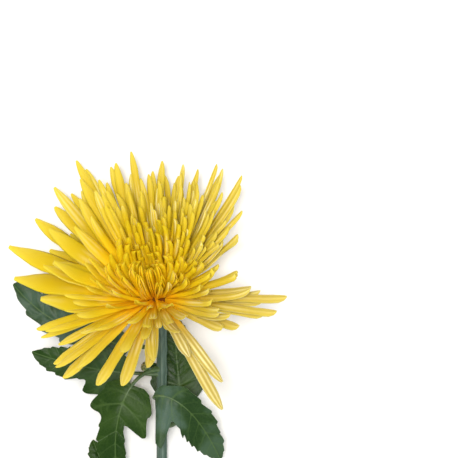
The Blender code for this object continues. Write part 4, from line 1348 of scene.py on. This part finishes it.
def leaf_guide(leaf):
    """The midrib's four guide points, from just off the stem's skin to the leaf's tip."""
    points, radii = stem_line(STEM_MARKS)
    k = min(range(1, STEM_MARKS - 1), key=lambda n: abs(points[n].y - SHIFT.y - leaf["at"]))
    ahead = (points[k + 1] - points[k - 1]).normalized()
    turn = math.radians(leaf["turn"])
    outward = Vector((math.sin(turn), 0.0, math.cos(turn)))
    outward = (outward - ahead * outward.dot(ahead)).normalized()
    start = points[k] + outward * (radii[k] / math.cos(math.pi / STEM_SIDES) + TOUCH_GAP)
    return (start, start + outward * leaf["spring"], *(Vector(p) + SHIFT for p in leaf["guide"]))


def leaf_line(guide, face, count):
    """Points along a midrib, with the directions along, across and out of the leaf."""
    curve = [bezier(guide, k / BEZIER_STEPS) for k in range(BEZIER_STEPS + 1)]
    points = spaced(curve, count)
    frames = []
    for k, point in enumerate(points):
        ahead = (points[min(k + 1, count - 1)] - points[max(k - 1, 0)]).normalized()
        across = ahead.cross(Vector(face)).normalized()
        frames.append((point, ahead, across, across.cross(ahead)))
    return frames


# %% [markdown]
# The outline's points are joined by a smooth curve, and small forward-pointing teeth are added
# where the blade is broad. Each leaf moves its lobes a little and makes its two sides unlike, from
# its own seed. The veins are written as a distance: how far a spot of the blade lies from the
# nearest vein, in millimetres. From it come both the creases of the sheet and the pale lines of its
# colour.

# %% The outline and the veins
# How many teeth a side has, and how deep they are
TEETH = (9.0, 0.11)
TOOTH_PEAK = 0.72
SIDE_VEINS = (0.03, 0.10, 0.19, 0.30, 0.44, 0.56, 0.68, 0.80)
VEIN_STRENGTH = (0.6, 0.5, 1.0, 0.4, 0.8, 0.5, 0.6, 0.5)
# Where twigs leave a side vein, and whether towards the tip or the foot
TWIGS = ((0.34, 1), (0.5, -1), (0.64, 1), (0.78, -1))
TWIG_REACH = 0.3
TWIG_SLANT = 0.11


def outline_width(share, side):
    """A side's half width at each share of the blade's length, smooth through the marks."""
    marks = np.array(LEAF_SHARES)
    widths = np.array(LEAF_SIDES[side])
    slopes = np.gradient(widths, marks)
    k = np.clip(np.searchsorted(marks, share, side="right") - 1, 0, len(marks) - 2)
    gap = marks[k + 1] - marks[k]
    t = np.clip((share - marks[k]) / gap, 0, 1)
    return ((2 * t**3 - 3 * t**2 + 1) * widths[k] + (t**3 - 2 * t**2 + t) * gap * slopes[k]
            + (3 * t**2 - 2 * t**3) * widths[k + 1] + (t**3 - t**2) * gap * slopes[k + 1])


def vein_slant(share):
    """The slant of the side veins: backwards at the blade's foot, then forwards."""
    return FOOT_SLANT + (LEAF_SLANT - FOOT_SLANT) * min(1.0, share / FULL_SLANT_AT)


def toothed(place):
    """A saw's edge with rounded teeth that point towards the leaf's tip, from 0 to 1."""
    t = place % 1.0
    fall = np.cos(np.clip((t - TOOTH_PEAK) / (1 - TOOTH_PEAK), 0, 1) * np.pi / 2)
    return np.where(t < TOOTH_PEAK, (t / TOOTH_PEAK) ** 1.4, np.clip(fall, 0, 1) ** 0.8)


def vein_field(share, side, length, half):
    """(distance to the nearest vein in millimetres, strength of that vein) over the blade."""
    outward = np.abs(side)
    aside = outward * half
    nearest = aside * math.cos(LEAF_SLANT)
    strength = np.full_like(share, 1.3)
    for mark, force in zip(SIDE_VEINS, VEIN_STRENGTH):
        line = mark + 0.035 * side**2 - 0.02 * outward
        away = np.abs(share - line) * length * math.cos(LEAF_SLANT)
        away = away + 2.0 * np.maximum(0, outward - 0.97)
        closer = away < nearest
        nearest = np.where(closer, away, nearest)
        strength = np.where(closer, force * (1 - 0.5 * outward), strength)
        for branch, way in TWIGS:
            out = outward - branch
            away = np.abs(share - (line + way * out * TWIG_SLANT)) * length * 0.85
            away = away + np.maximum(0, -out) * 60 + np.maximum(0, out - TWIG_REACH) * 60
            closer = (away < nearest) & (aside > 1.0)
            nearest = np.where(closer, away, nearest)
            strength = np.where(closer, 0.4 * force, strength)
    return nearest, strength


# %% [markdown]
# ## The leaf's finish
# The upper side is a deep, leathery green. Over it lies a grey-blue painted sheen in clouds, a
# painted reflection of the light above on the glossy blade, and every leaf brings its own amount of
# it, fading towards the tip. The veins are a little paler than the blade, and cloudy patches and a
# fine net of cells keep the green from looking painted.

# %% The leaf material
LEAF_DARK = (0.008, 0.030, 0.002)
LEAF_LIGHT = (0.024, 0.058, 0.006)
# Painted sheen: a grey-blue reflection painted into the leaf's colour
LEAF_PAINTED_SHEEN = (0.062, 0.108, 0.084)
LEAF_CELL = (0.04, 0.08, 0.02)
LEAF_VEIN = (0.070, 0.125, 0.035)
LEAF_UNDER = (0.10, 0.155, 0.075)


def leaf_material():
    material, board, shader = shader_board("leaf_green")
    place = board.out("ShaderNodeTexCoord", name="Object")
    clouds = noise(board, place, 60.0, 4.0)
    grain = noise(board, place, 900.0, 3.0)
    cells = board.out("ShaderNodeTexVoronoi", name="Distance", feature="DISTANCE_TO_EDGE",
                      named={"Vector": place, "Scale": 620.0})
    vein, strength, under, frost = attributes(board, "vein", "vein_strength", "under", "frost")
    line = vein.smooth(0.10, 0.45, 1.0, 0.0) * strength
    height = grain * 0.5 + cells.smooth(0.0, 0.2) * 0.5
    board.fill(shader, {
        "Base Color": painted(
            board, LEAF_DARK,
            (clouds.smooth(0.3, 0.7), LEAF_LIGHT),
            # Painted sheen in clouds, as much as each leaf carries
            ((frost * clouds.smooth(0.40, 0.62, 0.10, 1.0)).below(), LEAF_PAINTED_SHEEN),
            (cells.smooth(0.0, 0.16, 0.15, 0.0), LEAF_CELL),
            ((line * 0.5).below(), LEAF_VEIN),
            (under * 0.7, LEAF_UNDER)),
        "Roughness": clouds.ramp(0.3, 0.7, 0.30, 0.42),
        "Specular IOR Level": 0.11,
        "Normal": bump(board, height, 0.00012, 0.35),
    })
    return material


leaf_green = leaf_material()

# %% Growing a blade
BLADE_ROWS = 190
BLADE_COLUMNS = 16
BLADE_THICKNESS = 0.42
MIDRIB_STEPS = 240
# How far a leaf's lobes move by chance, as a share of its length
LOBE_SHIFT = 0.012
# The creases along the veins, the swelling between them and the waves of the edge
CREASE_DEPTH, CREASE_WIDTH = 0.22, 0.75
SWELL_HEIGHT, SWELL_WIDTH = 0.22, 3.0
EDGE_WAVE = 0.9


def blade_widths(leaf, share, side, phase, rng):
    """How far the blade reaches to both sides of its midrib, in millimetres."""
    wider = {-1: rng.uniform(0.95, 1.02), 1: rng.uniform(0.95, 1.02)}
    teeth, depth = leaf.get("teeth", TEETH)
    half = np.zeros_like(share)
    for sign, edge in zip((-1, 1), leaf["sides"]):
        moved = share + LOBE_SHIFT * rng.uniform(-1, 1) * np.sin(share * math.pi)
        width = outline_width(np.clip(moved, 0, 1), edge) * leaf["half_width"] * wider[sign]
        bite = toothed(share * teeth + phase[sign]) - 0.6
        width *= 1 + depth * bite * np.clip(width / 6, 0, 1)
        half = np.where(np.sign(side) == sign, width, half)
    return np.where(side == 0, half.max(axis=1, keepdims=True), half)


def midrib_step(start, share):
    """The midrib's step at a share of the blade, which starts where the petiole ends."""
    return round((start + (1 - start) * share) * MIDRIB_STEPS)


def blade_mesh(name, leaf, seed):
    """The blade's sheet with its veins stored on it, the midrib's frames and the blade's start."""
    rng = random.Random(seed)
    dense = leaf_line(leaf_guide(leaf), leaf["face"], MIDRIB_STEPS + 1)
    length = sum((b[0] - a[0]).length for a, b in zip(dense, dense[1:]))
    start = leaf["petiole"] / length
    shares = np.linspace(0, 1, BLADE_ROWS + 1)
    steps = np.sin(np.linspace(-1, 1, 2 * BLADE_COLUMNS + 1) * math.pi / 2)
    share, side = np.meshgrid(shares, steps, indexing="ij")
    phase = {-1: rng.random(), 1: rng.random()}
    half = blade_widths(leaf, share, side, phase, rng)
    vein, strength = vein_field(share, side, length - leaf["petiole"], half)
    aside = np.abs(side) * half
    reach = leaf["half_width"]
    lift = aside * math.sin(math.radians(leaf["fold"])) - leaf["droop"] * aside**2 / reach
    crease = -CREASE_DEPTH * strength * np.exp(-((vein / CREASE_WIDTH) ** 2))
    crease = crease * np.clip(1.3 - np.abs(side), 0, 1)
    swell = SWELL_HEIGHT * np.clip(vein / SWELL_WIDTH, 0, 1) ** 1.2
    wave = EDGE_WAVE * np.sin(share * 19 + phase[1] * 6 + np.sign(side) * 1.3)
    wave = wave * (aside / reach) ** 1.5
    lift = lift + crease + swell + wave
    places = np.zeros((*share.shape, 3))
    for row in range(BLADE_ROWS + 1):
        point, ahead, across, out = dense[midrib_step(start, shares[row])]
        slant = vein_slant(shares[row])
        slanted = (np.sign(side[row])[:, None] * np.array(across) * math.cos(slant)
                   + np.array(ahead) * math.sin(slant) * (np.abs(side[row]) > 0)[:, None])
        places[row] = (np.array(point) + slanted * aside[row][:, None]
                       + np.array(out) * lift[row][:, None])
    columns = 2 * BLADE_COLUMNS + 1
    corner = np.arange(BLADE_ROWS)[:, None] * columns + np.arange(columns - 1)
    faces = np.stack([corner, corner + 1, corner + columns + 1, corner + columns], axis=-1)
    # How much painted sheen the leaf carries, less towards its tip
    frost = leaf.get("frost", 0.0) * (1 - 0.65 * share)
    mesh = plain_mesh(name, (places.reshape(-1, 3) * MM).tolist(),
                      faces=faces.reshape(-1, 4).tolist(), vein=vein.ravel(),
                      vein_strength=strength.ravel(), frost=frost.ravel())
    return mesh, dense, start


def thickened(piece, thickness):
    """Gives the piece's mesh a wall, by a Solidify modifier that is applied at once."""
    wall = piece.modifiers.new("Wall", "SOLIDIFY")
    wall.thickness = thickness * MM
    wall.offset = 0.0
    mesh = finished_mesh(piece)
    piece.modifiers.clear()
    piece.data = mesh


def mark_underside(mesh, face):
    """Stores 1 on the points of the faces that look away from the leaf's own upward way."""
    way = Vector(face)
    under = [0.0] * len(mesh.vertices)
    for polygon in mesh.polygons:
        if polygon.normal.dot(way) < 0:
            for index in polygon.vertices:
                under[index] = 1.0
    mesh.attributes.new("under", "FLOAT", "POINT").data.foreach_set("value", under)


# %% The leaves, each a blade on its stalk
LEAF_SEED = 40
PETIOLE_RADIUS = 1.25
RIB_TIP_RADIUS = 0.40
RIB_END = 0.93
RIB_POINTS = 48
# How deep the rib lies under the blade, and over how many of the midrib's steps it sinks there
RIB_SINK = 0.75
RIB_SINK_STEPS = 60
STALK_OVERLAP = 1.0
STALK_FLARE = 0.6


def make_leaf(name, leaf, seed):
    mesh, dense, start = blade_mesh(name + "_blade", leaf, seed)
    blade = placed(name + "_blade", mesh)
    thickened(blade, BLADE_THICKNESS)
    mark_underside(blade.data, leaf["face"])
    blade.data.shade_smooth()
    blade.data.materials.append(leaf_green)
    settle(blade, "leaf_green", name)

    points = [point - out * RIB_SINK * min(1.0, k / RIB_SINK_STEPS)
              for k, (point, _, _, out) in enumerate(dense)]
    points[0] = points[0] - (points[1] - points[0]).normalized() * STALK_OVERLAP
    rib = spaced(points[: midrib_step(start, RIB_END) + 1], RIB_POINTS)
    radii = []
    for k in range(RIB_POINTS):
        share = k / (RIB_POINTS - 1)
        flare = STALK_FLARE * math.exp(-share * 18)
        radii.append(PETIOLE_RADIUS + (RIB_TIP_RADIUS - PETIOLE_RADIUS) * share**0.5 + flare)
    stalk = grow_rod(name + "_stalk", rib, radii, 14, 3.0, 0.10, 0.0, stalk_green)
    settle(stalk, "leaf_green", name)


stalk_green = grown_green("stalk_green", (0.040, 0.085, 0.025), (0.075, 0.130, 0.045), 300.0, 0.5)
for number, (name, leaf) in enumerate(LEAVES.items()):
    make_leaf(name, leaf, LEAF_SEED + number)

# %% Sizes of the solids and of the dressed flower, side by side
low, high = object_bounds()
{"cad": [list(cad_low), list(cad_high)], "visual": [list(low), list(high)]}
